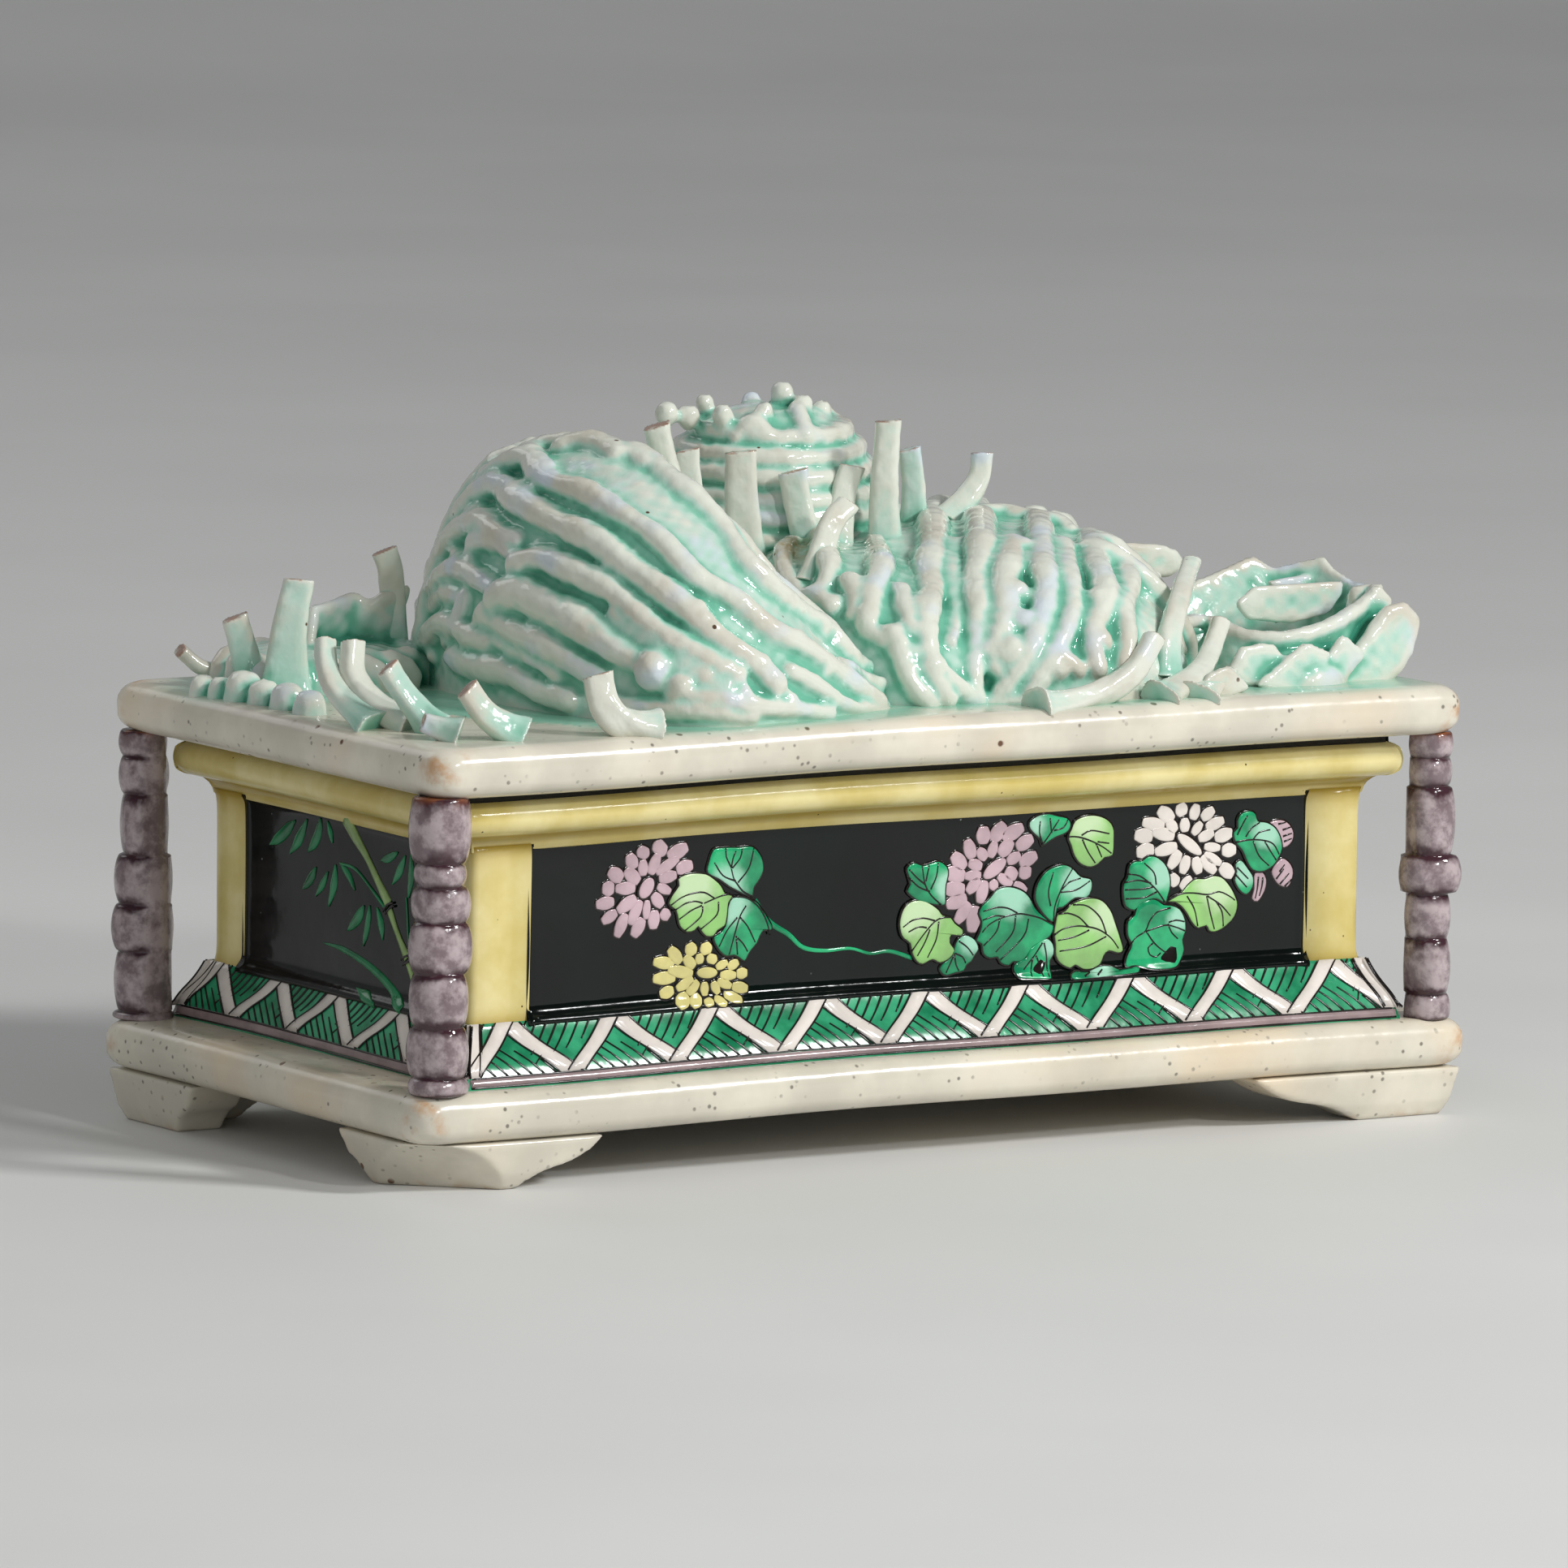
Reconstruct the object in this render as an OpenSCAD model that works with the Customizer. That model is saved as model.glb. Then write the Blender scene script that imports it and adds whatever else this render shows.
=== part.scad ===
// Brush rest of glazed earthenware: a mountain of ridged clay on a footed, walled stand.
// X runs along the long front, Y to the back, Z up; the feet stand on Z = 0.

/* [Stand] */
// Length of the base slab
base_l = 170; // [168:1:176]
// Depth of the base slab
base_w = 84; // [83:1:88]
// Thickness of the base slab
base_t = 6.7; // [6:0.1:8]
// Height of the bracket feet
foot_h = 7; // [6:0.5:9]
// Length of the left feet along the front and back
foot_arm_left = 29; // [26:1:34]
// Length of the right feet along the front and back
foot_arm_right = 34; // [28:1:38]
// Length of each foot along the ends
foot_arm_end = 22; // [20:1:26]
// Length of the flat that each foot stands on
foot_toe = 16; // [12:1:18]

/* [Walls] */
// Height between the two slabs
wall_h = 39.3; // [38:0.1:44]
// Thickness of the panels and posts
wall_t = 4; // [3:0.5:5]
// Half the body's length at the corner posts
body_half_l = 71.8; // [70:0.1:72]
// Half the body's depth at the corner posts
body_half_w = 33; // [32:0.1:33.5]
// Width of a post on the long sides
post_face = 9.3; // [8:0.1:11]
// Width of a post on the short sides
post_side = 8; // [7:0.1:10]
// How far the dark panels stand back from the posts
panel_step = 0.5; // [0.3:0.1:1]
// Height of the sloping skirt
skirt_h = 8; // [7:0.1:9]
// Height of the roll moulding under the top slab
cornice_h = 8; // [7.5:0.1:9]

/* [Columns] */
// Largest radius of a column
column_r = 4.3; // [4:0.1:4.6]
// Distance of a column's centre from the end of the top slab
column_inset_l = 3.3; // [3.2:0.1:3.8]
// Distance of a column's centre from the front of the top slab
column_inset_w = 4.4; // [4.3:0.1:4.8]

/* [Top] */
// Length of the top slab
top_l = 166; // [166:1:170]
// Depth of the top slab
top_w = 85; // [85:1:88]
// Thickness of the top slab
top_t = 6.8; // [6:0.1:8]
// Radius of the slabs' rounded edges
edge_r = 2.6; // [2:0.1:2.9]
// Radius of the slabs' corners in plan
corner_r = 3.5; // [3:0.1:5]

/* [Mountain] */
// Height of the left peak over the top slab
left_peak_h = 36; // [34:0.5:38]
// Height of the middle peak over the top slab
middle_peak_h = 37; // [36:0.5:40]
// Height of the right-hand rock over the top slab
right_rock_h = 22.5; // [20:0.5:25]
// Radius of the ridges
ridge_r = 1.9; // [1.4:0.1:2.2]
// Radius of the firing vent in the base slab
vent_r = 2.5; // [2:0.5:4]

/* [Hidden] */
$fn = 48;

floor_z = foot_h + base_t;
deck_z = floor_z + wall_h;
top_z = deck_z + top_t;
cornice_z = deck_z - cornice_h;
column_x = top_l / 2 - column_inset_l;
column_y = top_w / 2 - column_inset_w;
skirt_out_l = 3.4;
skirt_out_w = 5.4;
roll_out = 4.5;
column_gap = 0.2;

// Corners as [name, side along X, side along Y, foot length along X]
CORNERS = [
    ["front_left", -1, -1, foot_arm_left],
    ["front_right", 1, -1, foot_arm_right],
    ["back_left", -1, 1, foot_arm_left],
    ["back_right", 1, 1, foot_arm_right]
];
// Long and short walls as [name, turn about Z, half length, distance out, post width, skirt flare]
WALLS = [
    ["front", 0, body_half_l, body_half_w, post_face, skirt_out_w],
    ["right", 90, body_half_w, body_half_l, post_side, skirt_out_l],
    ["back", 180, body_half_l, body_half_w, post_face, skirt_out_w],
    ["left", 270, body_half_w, body_half_l, post_side, skirt_out_l]
];

// Heights where each column is pinched, as shares of its height, and its bulges
COLUMN_CUTS = [
    ["front_left", [0, 0.06, 0.23, 0.41, 0.58, 0.7, 0.78, 1], [3.9, 4.1, 4.2, 4.2, 3.9, 3.7, 4.1]],
    ["front_right", [0, 0.09, 0.28, 0.44, 0.57, 0.81, 0.91, 1], [3.2, 3.5, 3.4, 4.3, 3.6, 3.2, 3.1]],
    ["back_left", [0, 0.03, 0.24, 0.4, 0.57, 0.78, 0.91, 1], [4, 4.2, 4.3, 4.1, 3.6, 3.4, 3.3]],
    ["back_right", [0, 0.08, 0.25, 0.43, 0.6, 0.76, 0.9, 1], [3.6, 4, 4.2, 3.9, 4, 3.7, 3.4]]
];

// Domes as [centre, radii right back left front, height, side curves, top curves]
LEFT_DOME = [[-32, 0], [46, 33, 20.5, 40], left_peak_h, [3.4, 0.8, 0.9, 1.1], [2.2, 1, 1, 1.2]];
MIDDLE_DOME = [[7.5, 19], [19.5, 17, 18, 16.5], middle_peak_h, [0.6, 0.6, 0.6, 0.6], [1, 1, 1, 1]];
RIGHT_DOME = [[30, 4], [28, 34, 34, 42], right_rock_h, [0.7, 0.6, 0.7, 0.95], [1, 1, 1, 1]];
SADDLE_DOME = [[4, 0], [24, 14, 17, 32], 20, [0.7, 0.6, 0.8, 1], [1, 1, 1, 1]];
COIL_DOME = [[64, -16], [16, 18, 16, 24], 11, [0.4, 0.45, 0.5, 0.45], [1, 1, 1, 1]];
LEDGE_DOME = [[-61, 23], [16, 15, 16, 11], 7, [0.4, 0.4, 0.4, 0.4], [1, 1, 1, 1]];

// Ridges over a dome as lists of [angle round it, angle up it]
LEFT_RIDGES = [
    [[-165, 70], [-152, 72], [-110, 74]],
    [[-118, 63], [-98, 58], [-88, 52], [-85, 45], [-82, 38], [-76, 32], [-68, 27], [-54, 23],
        [-40, 18], [-28, 10], [-22, 3]],
    [[-170, 63], [-155, 56], [-143, 53], [-131, 50], [-118, 46], [-104, 41], [-93, 32],
        [-83, 23], [-76, 18], [-68, 12], [-58, 7], [-46, 2]],
    [[163, 55], [178, 52], [-168, 47], [-155, 44], [-140, 41], [-130, 37], [-120, 34],
        [-111, 29], [-104, 25], [-95, 20], [-88, 15]],
    [[-163, 34], [-153, 35], [-140, 33], [-131, 29], [-123, 23], [-114, 16], [-106, 11]],
    [[-162, 27], [-147, 25], [-137, 22], [-128, 17]],
    [[-162, 19], [-147, 18], [-137, 15], [-128, 11]],
    [[-162, 13], [-150, 11], [-142, 8], [-132, 5]],
    [[-160, 7], [-149, 5], [-137, 2]],
    [[170, 51], [162, 45], [168, 40], [-178, 36]],
    [[153, 40], [147, 34], [155, 28]],
    [[179, 33], [-174, 37], [-166, 36], [-162, 31]],
    [[169, 30], [171, 27], [177, 23]],
    [[166, 20], [174, 23], [-175, 22]],
    [[160, 11], [178, 11], [-170, 7]],
    [[162, 59], [168, 75], [-171, 80], [-60, 84], [-75, 76]],
    [[-88, 56], [-80, 51], [-75, 46], [-78, 39]],
    [[-71, 39], [-75, 33]]
];
RIGHT_RIDGES = [
    [[-150, 72], [-141, 57], [-138, 43], [-138, 33], [-138, 23], [-140, 12]],
    [[-119, 78], [-122, 66], [-124, 52], [-125, 41], [-127, 27], [-127, 12], [-129, 2]],
    [[-58, 76], [-114, 61], [-121, 47]],
    [[-99, 60], [-103, 48], [-107, 37], [-111, 28], [-115, 20], [-119, 10], [-124, 2]],
    [[-85, 62], [-98, 48], [-104, 34], [-107, 21], [-112, 11], [-118, 2]],
    [[-74, 59], [-90, 43], [-97, 30], [-102, 18], [-109, 5]],
    [[-78, 49], [-88, 30], [-90, 21], [-95, 12], [-101, 4]],
    [[-66, 41], [-80, 28], [-86, 18]],
    [[-50, 60], [-40, 46], [-28, 40], [-14, 40]]
];
SADDLE_RIDGES = [
    [[-150, 62], [-132, 42], [-128, 28], [-120, 16]],
    [[-96, 66], [-88, 44], [-85, 30], [-84, 18]],
    [[-52, 62], [-56, 44], [-60, 30], [-66, 16]]
];
COIL_RIDGES = [
    [[-150, 34], [-126, 32], [-108, 34], [-81, 44], [-52, 56]],
    [[-160, 52], [-128, 52], [-110, 54], [-85, 60], [-52, 72]],
    [[150, 66], [110, 70], [70, 72]]
];

// Knobs of the left peak as [angle round it, angle up it, radius]
LEFT_KNOBS = [
    [-123, 13, 3.6], [-111, 41, 2.2], [-89, 29, 2.2], [-106, 27, 2.2], [-76, 22, 2.4], [-52, 27, 2],
    [-74, 13, 2.6], [-89, 17, 2.4], [-85, 10, 2.2], [176, 50, 2.2], [168, 62, 2]
];
// Knobs round the top of the middle peak as [centre, radius]
CROWN = [
    [[-9, 19, 95.2], 1.9], [[-5.5, 19, 94.6], 1.9], [[-2.5, 15, 95.2], 1.7], [[3, 13, 95.6], 1.5],
    [[8.5, 17, 97.4], 1.9], [[10, 14, 96.2], 1.6], [[14.4, 16, 95], 1.6], [[17, 20, 94.6], 1.5],
    [[0.4, 24, 95.8], 1.5], [[8.6, 25, 95.6], 1.5]
];

// Strips of clay as [name, points from root to tip, root width, tip width, thickness, facing]
STRIPS = [
    ["strip_left_1", [[-71, 30, 61], [-76, 30, 62.5], [-79, 31, 65]], 3.5, 3, 2.2, 60],
    ["strip_left_2", [[-73.5, 20, 60], [-75.5, 20, 66], [-77, 20, 70.6]], 5, 3.6, 2.4, -30],
    ["strip_left_3", [[-72.5, 14, 60], [-72, 14, 69], [-70.5, 14, 76]], 7, 4.2, 2.4, -33],
    ["strip_left_4", [[-48.5, 25, 62], [-49.8, 24, 74], [-51, 24, 78]], 4, 3.6, 1.8, -30],
    ["strip_left_5", [[-78, -18, 60], [-80, -12, 64], [-79.5, -8, 67.5], [-78.5, -6, 70.4]],
        5, 3, 2.6, 20],
    ["strip_left_6", [[-73, -20, 60], [-76, -15, 62.5], [-77, -11, 66], [-76, -9, 70.4]],
        6, 3.4, 3, 20],
    ["strip_left_7", [[-72.5, -24, 60], [-76, -22, 65], [-78, -21, 68.4]], 4, 3.4, 2.6, 10],
    ["strip_left_8", [[-66, -35, 60], [-70.5, -34, 63], [-73, -33, 66.6]], 4.4, 3.4, 2.6, 0],
    ["strip_left_9", [[-74, -33, 60.4], [-78, -30, 62]], 4, 1.8, 3, 60],
    ["strip_front_1", [[-47, -38.2, 60], [-52, -38, 61.4], [-54, -37, 64], [-54.4, -36, 67.8]],
        5, 4.2, 3.4, -20],
    ["strip_front_2", [[39, -33, 62], [40, -32, 67], [45, -27, 71.7], [52.4, -19, 75.8]],
        4, 2.6, 2.6, 10],
    ["strip_front_3", [[14, -38.6, 60], [24, -38.6, 61.2], [30, -38, 63.7], [35, -36, 68.2]],
        5.6, 2.8, 3.2, 10],
    ["strip_front_4", [[34, -39, 60], [43, -34.4, 62.4], [48.4, -30, 65], [52, -27, 68.5]],
        4.4, 2.6, 2.6, 10],
    ["strip_front_5", [[40, -39.6, 60], [49.4, -33.4, 62.4]], 5, 1.6, 1.8, 10],
    ["strip_valley_1", [[-4.5, 5, 74], [-5, 6, 85], [-5.2, 6, 91.2]], 6, 4.4, 2.6, -33],
    ["strip_valley_2", [[4, 1, 74], [2.6, 3.6, 84], [2, 4, 88.4]], 4, 4.2, 2.4, -40],
    ["strip_valley_3", [[8.6, 2.4, 74], [10.6, 4.6, 84], [12.4, 5, 88.5]], 4, 3.6, 2.2, -20],
    ["strip_valley_4", [[14.8, 0, 76], [15, 1, 85], [15.5, 1, 95]], 5, 3.6, 3.2, -33],
    ["strip_valley_5", [[22.6, 5, 78], [22.4, 5, 85.4], [21.6, 5, 90.5]], 4, 3.2, 2, -33],
    ["strip_valley_6", [[-3, -9, 74], [1, -7, 81.8], [4.6, -6, 84.8]], 4.4, 3.2, 2.4, -10],
    ["strip_valley_7", [[27.5, 4, 80], [32.2, 4, 85.4], [33, 4, 89.5]], 4, 3, 3, -33],
    ["strip_valley_8", [[-13.4, 3, 74], [-15, 3.6, 87], [-15.4, 4, 92]], 4.6, 3.6, 2, -33],
    ["strip_crest", [[-19, -3, 78], [-22.4, -2, 90], [-24, -2, 96.4]], 5.6, 3.6, 3.4, -33],
    ["strip_back_1", [[-30, 33, 60], [-33, 35, 68], [-32, 36, 74]], 4.6, 3.2, 2.6, 20],
    ["strip_back_2", [[34, 34, 60], [37, 36, 67], [41, 36, 71]], 4.6, 3, 2.4, 10]
];

// Stones along the left edge as [centre, radius]
STONES = [
    [[-80, 23, 61], 1.9], [[-79.4, 19, 61], 2], [[-78.4, 15, 61.6], 2.7],
    [[-78, 10.4, 61.2], 2.3], [[-77.6, 5, 61.2], 2.5], [[-77.8, -1, 61], 2.3]
];

SLAB_NODES = ["base_slab", "top_slab"];
CORNER_KINDS = ["foot", "corner_post", "column"];
WALL_KINDS = ["panel", "skirt", "cornice"];
ROCK_NODES = ["peak_left", "peak_middle", "rock_right", "peak_right", "ledge_left", "stone_row"];

IVORY = [0.87, 0.84, 0.76];
CELADON = [0.70, 0.84, 0.76];
AUBERGINE = [0.50, 0.40, 0.43];
YELLOW = [0.86, 0.76, 0.38];
BLACK = [0.05, 0.06, 0.05];
EMERALD = [0.10, 0.50, 0.33];

// A rectangle with round corners, its centre on the origin
module round_rect(length, width, r) {
    square([length - 2 * r, width], center = true);
    square([length, width - 2 * r], center = true);
    for (x = [-1, 1], y = [-1, 1])
        translate([x * (length / 2 - r), y * (width / 2 - r)])
            circle(r = r);
}

// A slab whose edges are rounded above and below, standing on Z = 0
module slab(length, width, thick) {
    translate([0, 0, thick / 2])
        intersection() {
            rotate([90, 0, 0])
                linear_extrude(width + 2, center = true)
                    round_rect(length, thick, edge_r);
            rotate([90, 0, 90])
                linear_extrude(length + 2, center = true)
                    round_rect(width, thick, edge_r);
            linear_extrude(thick + 2, center = true)
                round_rect(length, width, corner_r);
        }
}

module base_slab() {
    color(IVORY)
        difference() {
            translate([0, 0, foot_h])
                slab(base_l, base_w, base_t);
            translate([0, 0, foot_h - 1])
                cylinder(h = base_t + 2, r = vent_r);
        }
}

module top_slab() {
    color(IVORY)
        translate([0, 0, deck_z])
            slab(top_l, top_w, top_t);
}

// One arm of a foot along +X, whose underside sweeps up from the toe to the slab
module foot_arm(length, thick) {
    steps = 12;
    sweep = [
        for (i = [0:steps])
            let (t = i / steps, rise = t + 0.09 * sin(360 * t) - 0.05 * sin(180 * t))
            [foot_toe + (length - foot_toe) * t, foot_h * 0.95 * rise]
    ];
    rotate([90, 0, 0])
        translate([0, 0, -thick])
            linear_extrude(thick)
                polygon(concat([[0, foot_h], [0, 0]], sweep, [[length, foot_h]]));
}

// The space behind one outer face of a foot, which leans in towards the floor
module foot_lean(length) {
    rotate([90, 0, 90])
        translate([0, 0, -1])
            linear_extrude(length + 2)
                polygon([
                    [0, foot_h], [0.6, foot_h * 0.6], [1, foot_h * 0.3], [2, 0], [length + 2, 0],
                    [length + 2, foot_h]
                ]);
}

// A foot of two arms that meet in a corner; one foot is pared away under its corner
module foot(corner) {
    arm_t = 9;
    inset = 1;
    pare_r = 12;
    pare_drop = 4.6;
    color(IVORY)
        translate([corner[1] * (base_l / 2 - inset), corner[2] * (base_w / 2 - inset), 0])
            mirror([corner[1] > 0 ? 1 : 0, 0, 0])
                mirror([0, corner[2] > 0 ? 1 : 0, 0])
                    difference() {
                        intersection() {
                            union() {
                                foot_arm(corner[3], arm_t);
                                mirror([1, -1, 0])
                                    foot_arm(foot_arm_end, arm_t);
                            }
                            foot_lean(corner[3]);
                            mirror([1, -1, 0])
                                foot_lean(corner[3]);
                        }
                        if (corner[0] == "front_left")
                            translate([0, 0, -pare_drop])
                                rotate([0, 0, 45])
                                    rotate([90, 0, 0])
                                        cylinder(h = 60, r = pare_r, center = true);
                    }
}

// An L-shaped corner post of the walls
module corner_post(corner) {
    height = cornice_z - floor_z;
    color(YELLOW)
        translate([corner[1] * body_half_l, corner[2] * body_half_w, floor_z])
            mirror([corner[1] > 0 ? 1 : 0, 0, 0])
                mirror([0, corner[2] > 0 ? 1 : 0, 0]) {
                    cube([post_face, wall_t, height]);
                    cube([wall_t, post_side, height]);
                }
}

// A column of stacked bulges, fuller at some than at others
module column(corner) {
    cuts = COLUMN_CUTS[search([corner[0]], COLUMN_CUTS)[0]];
    pinch = 0.82;
    steps = 6;
    stack = [
        for (i = [0:len(cuts[2]) - 1], s = [0:steps - 1])
            let (
                low = cuts[1][i], high = cuts[1][i + 1], t = s / steps,
                r = cuts[2][i] * (pinch + (1 - pinch) * sqrt(sin(180 * t)))
            ) [r, wall_h * (low + (high - low) * t)]
    ];
    color(AUBERGINE)
        translate([corner[1] * column_x, corner[2] * column_y, floor_z])
            rotate_extrude()
                polygon(concat([[0, 0]], stack, [[cuts[2][len(cuts[2]) - 1] * pinch, wall_h], [0, wall_h]]));
}

// Room round the columns, which the mouldings stop against
module column_room() {
    for (corner = CORNERS)
        translate([corner[1] * column_x, corner[2] * column_y, 0])
            cylinder(h = top_z, r = column_r + column_gap);
}

// A dark panel between two posts
module panel(wall) {
    length = 2 * (wall[2] - wall[4]);
    color(BLACK)
        rotate([0, 0, wall[1]])
            translate([-length / 2, -wall[3] + panel_step, floor_z])
                cube([length, wall_t - panel_step, cornice_z - floor_z]);
}

// The part of the plan that belongs to one wall, cut along the mitres of its mouldings
module mitre(wall, out, side_out) {
    rotate([0, 0, wall[1]])
        linear_extrude(top_z)
            polygon([
                [-wall[2] + 5, -wall[3] + 5 * out / side_out], [-wall[2] - side_out, -wall[3] - out],
                [wall[2] + side_out, -wall[3] - out], [wall[2] - 5, -wall[3] + 5 * out / side_out]
            ]);
}

// A sloping strip round the foot of a wall
module skirt(wall) {
    side_out = wall[5] == skirt_out_w ? skirt_out_l : skirt_out_w;
    flare = wall[5];
    color(EMERALD)
        difference() {
            intersection() {
                rotate([0, 0, wall[1]])
                    translate([0, -wall[3], floor_z])
                        rotate([90, 0, 90])
                            linear_extrude(2 * (wall[2] + side_out), center = true)
                                polygon([
                                    [0, 0], [-flare, 0], [-flare * 0.86, skirt_h * 0.16],
                                    [-flare * 0.62, skirt_h * 0.5], [-flare * 0.34, skirt_h * 0.83],
                                    [-flare * 0.14, skirt_h], [0, skirt_h]
                                ]);
                mitre(wall, flare, side_out);
            }
            column_room();
        }
}

// The roll moulding with a hollow under it and a dark step over it
module cornice(wall) {
    roll_r = 2.3;
    roll_x = roll_r - roll_out;
    roll_z = 4.4;
    roll = [for (a = [270:-15:120]) [roll_x + roll_r * cos(a), roll_z + roll_r * sin(a)]];
    step_x = roll[len(roll) - 1][0];
    color(YELLOW)
        difference() {
            intersection() {
                rotate([0, 0, wall[1]])
                    translate([0, -wall[3], cornice_z])
                        rotate([90, 0, 90])
                            linear_extrude(2 * (wall[2] + roll_out), center = true)
                                polygon(concat(
                                    [[wall_t, 0], [0, 0], [-0.6, 1.3]],
                                    roll,
                                    [[step_x, cornice_h], [wall_t, cornice_h]]
                                ));
                mitre(wall, roll_out, roll_out);
            }
            column_room();
        }
}

// Blend of four side values at an angle round a dome
function side_mix(values, az) =
    let (c = cos(az), s = sin(az))
    c * c * (c > 0 ? values[0] : values[2]) + s * s * (s > 0 ? values[1] : values[3]);

// The angle up a dome of a ridge that runs round it
function ring_height(el, az) = el + 1.6 * sin(az + 25) + 1.1 * sin(2 * az + 70);

// A point on a dome at an angle round it and an angle up it
function dome_point(dome, az, el) =
    let (
        c = cos(az), s = sin(az),
        reach = pow(max(cos(el), 0), side_mix(dome[3], az)),
        rise = pow(sin(el), side_mix(dome[4], az))
    )
    [
        dome[0][0] + c * reach * (c > 0 ? dome[1][0] : dome[1][2]),
        dome[0][1] + s * reach * (s > 0 ? dome[1][1] : dome[1][3]),
        top_z + dome[2] * rise
    ];

// The plain body of a dome
module dome_body(dome) {
    turns = 30;
    levels = [0, 7, 15, 24, 34, 45, 57, 69, 80];
    rings = [
        for (el = levels, i = [0:turns - 1])
            dome_point(dome, 360 * i / turns, el)
    ];
    apex = [dome[0][0], dome[0][1], top_z + dome[2]];
    last = (len(levels) - 1) * turns;
    sides = [
        for (k = [0:len(levels) - 2], i = [0:turns - 1])
            let (a = k * turns + i, b = k * turns + (i + 1) % turns)
            each [[a, b + turns, b], [a, a + turns, b + turns]]
    ];
    roof = [for (i = [0:turns - 1]) [last + i, len(rings), last + (i + 1) % turns]];
    floor_face = [[for (i = [0:turns - 1]) i]];
    polyhedron(points = concat(rings, [apex]), faces = concat(sides, roof, floor_face), convexity = 4);
}

// A round ridge that follows a list of places on a dome
module ridge(dome, path, r) {
    last = len(path) - 1;
    for (i = [0:last - 1])
        hull() {
            ridge_bead(dome, path[i], r * (i == 0 ? 0.75 : 1));
            ridge_bead(dome, path[i + 1], r * (i + 1 == last ? 0.6 : 1));
        }
}

module ridge_bead(dome, place, r) {
    translate(dome_point(dome, place[0], place[1]))
        sphere(r = r, $fn = 6);
}

// A ridge that runs right round a dome and rises and falls as it goes
module ring_ridge(dome, el, r) {
    step = 24;
    for (az = [0:step:360 - step])
        hull() {
            ridge_bead(dome, [az, ring_height(el, az)], r);
            ridge_bead(dome, [az + step, ring_height(el, az + step)], r);
        }
}

// A knob of clay that narrows upwards
module knob(centre, r) {
    hull() {
        translate(centre)
            sphere(r = r, $fn = 8);
        translate(centre - [0, 0, r])
            sphere(r = r * 1.2, $fn = 6);
    }
}

// Everything over the top slab
module above_slab() {
    translate([-top_l / 2, -top_w / 2, top_z])
        cube([top_l, top_w, 60]);
}

// Ridges that the back of a dome carries, swept down and round
module back_fan(dome, from, to, count) {
    for (i = [0:count - 1])
        let (az = from + (to - from) * i / (count - 1))
            ridge(dome, [[az, 62], [az + 9, 44], [az + 18, 24], [az + 24, 5]], ridge_r);
}

module left_shape() {
    intersection() {
        union() {
            dome_body(LEFT_DOME);
            for (path = LEFT_RIDGES)
                ridge(LEFT_DOME, path, ridge_r);
            back_fan(LEFT_DOME, 18, 128, 8);
            for (place = LEFT_KNOBS)
                knob(dome_point(LEFT_DOME, place[0], place[1]), place[2]);
        }
        above_slab();
    }
}

module middle_shape() {
    intersection() {
        union() {
            dome_body(MIDDLE_DOME);
            for (el = [35, 48, 60])
                ring_ridge(MIDDLE_DOME, el, ridge_r);
            for (place = CROWN)
                knob(place[0], place[1]);
        }
        above_slab();
    }
}

module right_shape() {
    intersection() {
        union() {
            dome_body(RIGHT_DOME);
            dome_body(SADDLE_DOME);
            for (path = RIGHT_RIDGES)
                ridge(RIGHT_DOME, path, ridge_r);
            for (path = SADDLE_RIDGES)
                ridge(SADDLE_DOME, path, ridge_r);
            back_fan(RIGHT_DOME, 0, 112, 8);
            leaf([50, 2, 70], [52, 0, 75.4], [60.5, -4, 73]);
        }
        above_slab();
    }
}

// The coiled peak: bands round a hollow, with pointed leaves at its foot
module coil_shape() {
    intersection() {
        union() {
            difference() {
                dome_body(COIL_DOME);
                translate([69, -15, top_z + COIL_DOME[2] + 2])
                    scale([1, 0.8, 0.5])
                        sphere(r = 7, $fn = 16);
            }
            for (path = COIL_RIDGES)
                ridge(COIL_DOME, path, ridge_r * 0.9);
            coil_rim();
            coil_leaves();
        }
        above_slab();
    }
}

module coil_rim() {
    rim = [[64, -3, 69.6], [70, -2.5, 71.4], [73.4, -4, 73.4], [76, -6, 71.4], [79, -9.5, 73.2],
        [79.5, -15, 71.2], [79.8, -22, 70.8], [79.6, -27, 69.2]];
    for (i = [0:len(rim) - 2])
        hull() {
            translate(rim[i])
                sphere(r = 1.5, $fn = 6);
            translate(rim[i + 1])
                sphere(r = 1.5, $fn = 6);
            translate([rim[i][0] - 2, rim[i][1] - 2, 65])
                sphere(r = 1.5, $fn = 6);
        }
}

module coil_leaves() {
    leaf([55, -36, 60], [61, -34, 62], [64, -34.5, 66]);
    leaf([59.5, -38, 60], [65, -37, 61], [66.5, -36, 64.6]);
    leaf([64, -38, 60], [69, -36.5, 61], [70, -35, 66]);
    leaf([69, -38, 60], [76, -35, 62], [81, -32, 67]);
    leaf([72, -36, 60], [78, -33, 60], [78.4, -32.5, 63]);
}

// A pointed leaf of clay spanned between its heel, its side and its tip
module leaf(heel, side, tip) {
    hull() {
        translate(heel)
            sphere(r = 1.4, $fn = 6);
        translate(side)
            sphere(r = 1.6, $fn = 6);
        translate(tip)
            sphere(r = 0.8, $fn = 6);
        translate([(heel[0] + tip[0]) / 2, heel[1] + 5, heel[2] + 1])
            sphere(r = 2, $fn = 6);
    }
}

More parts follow.
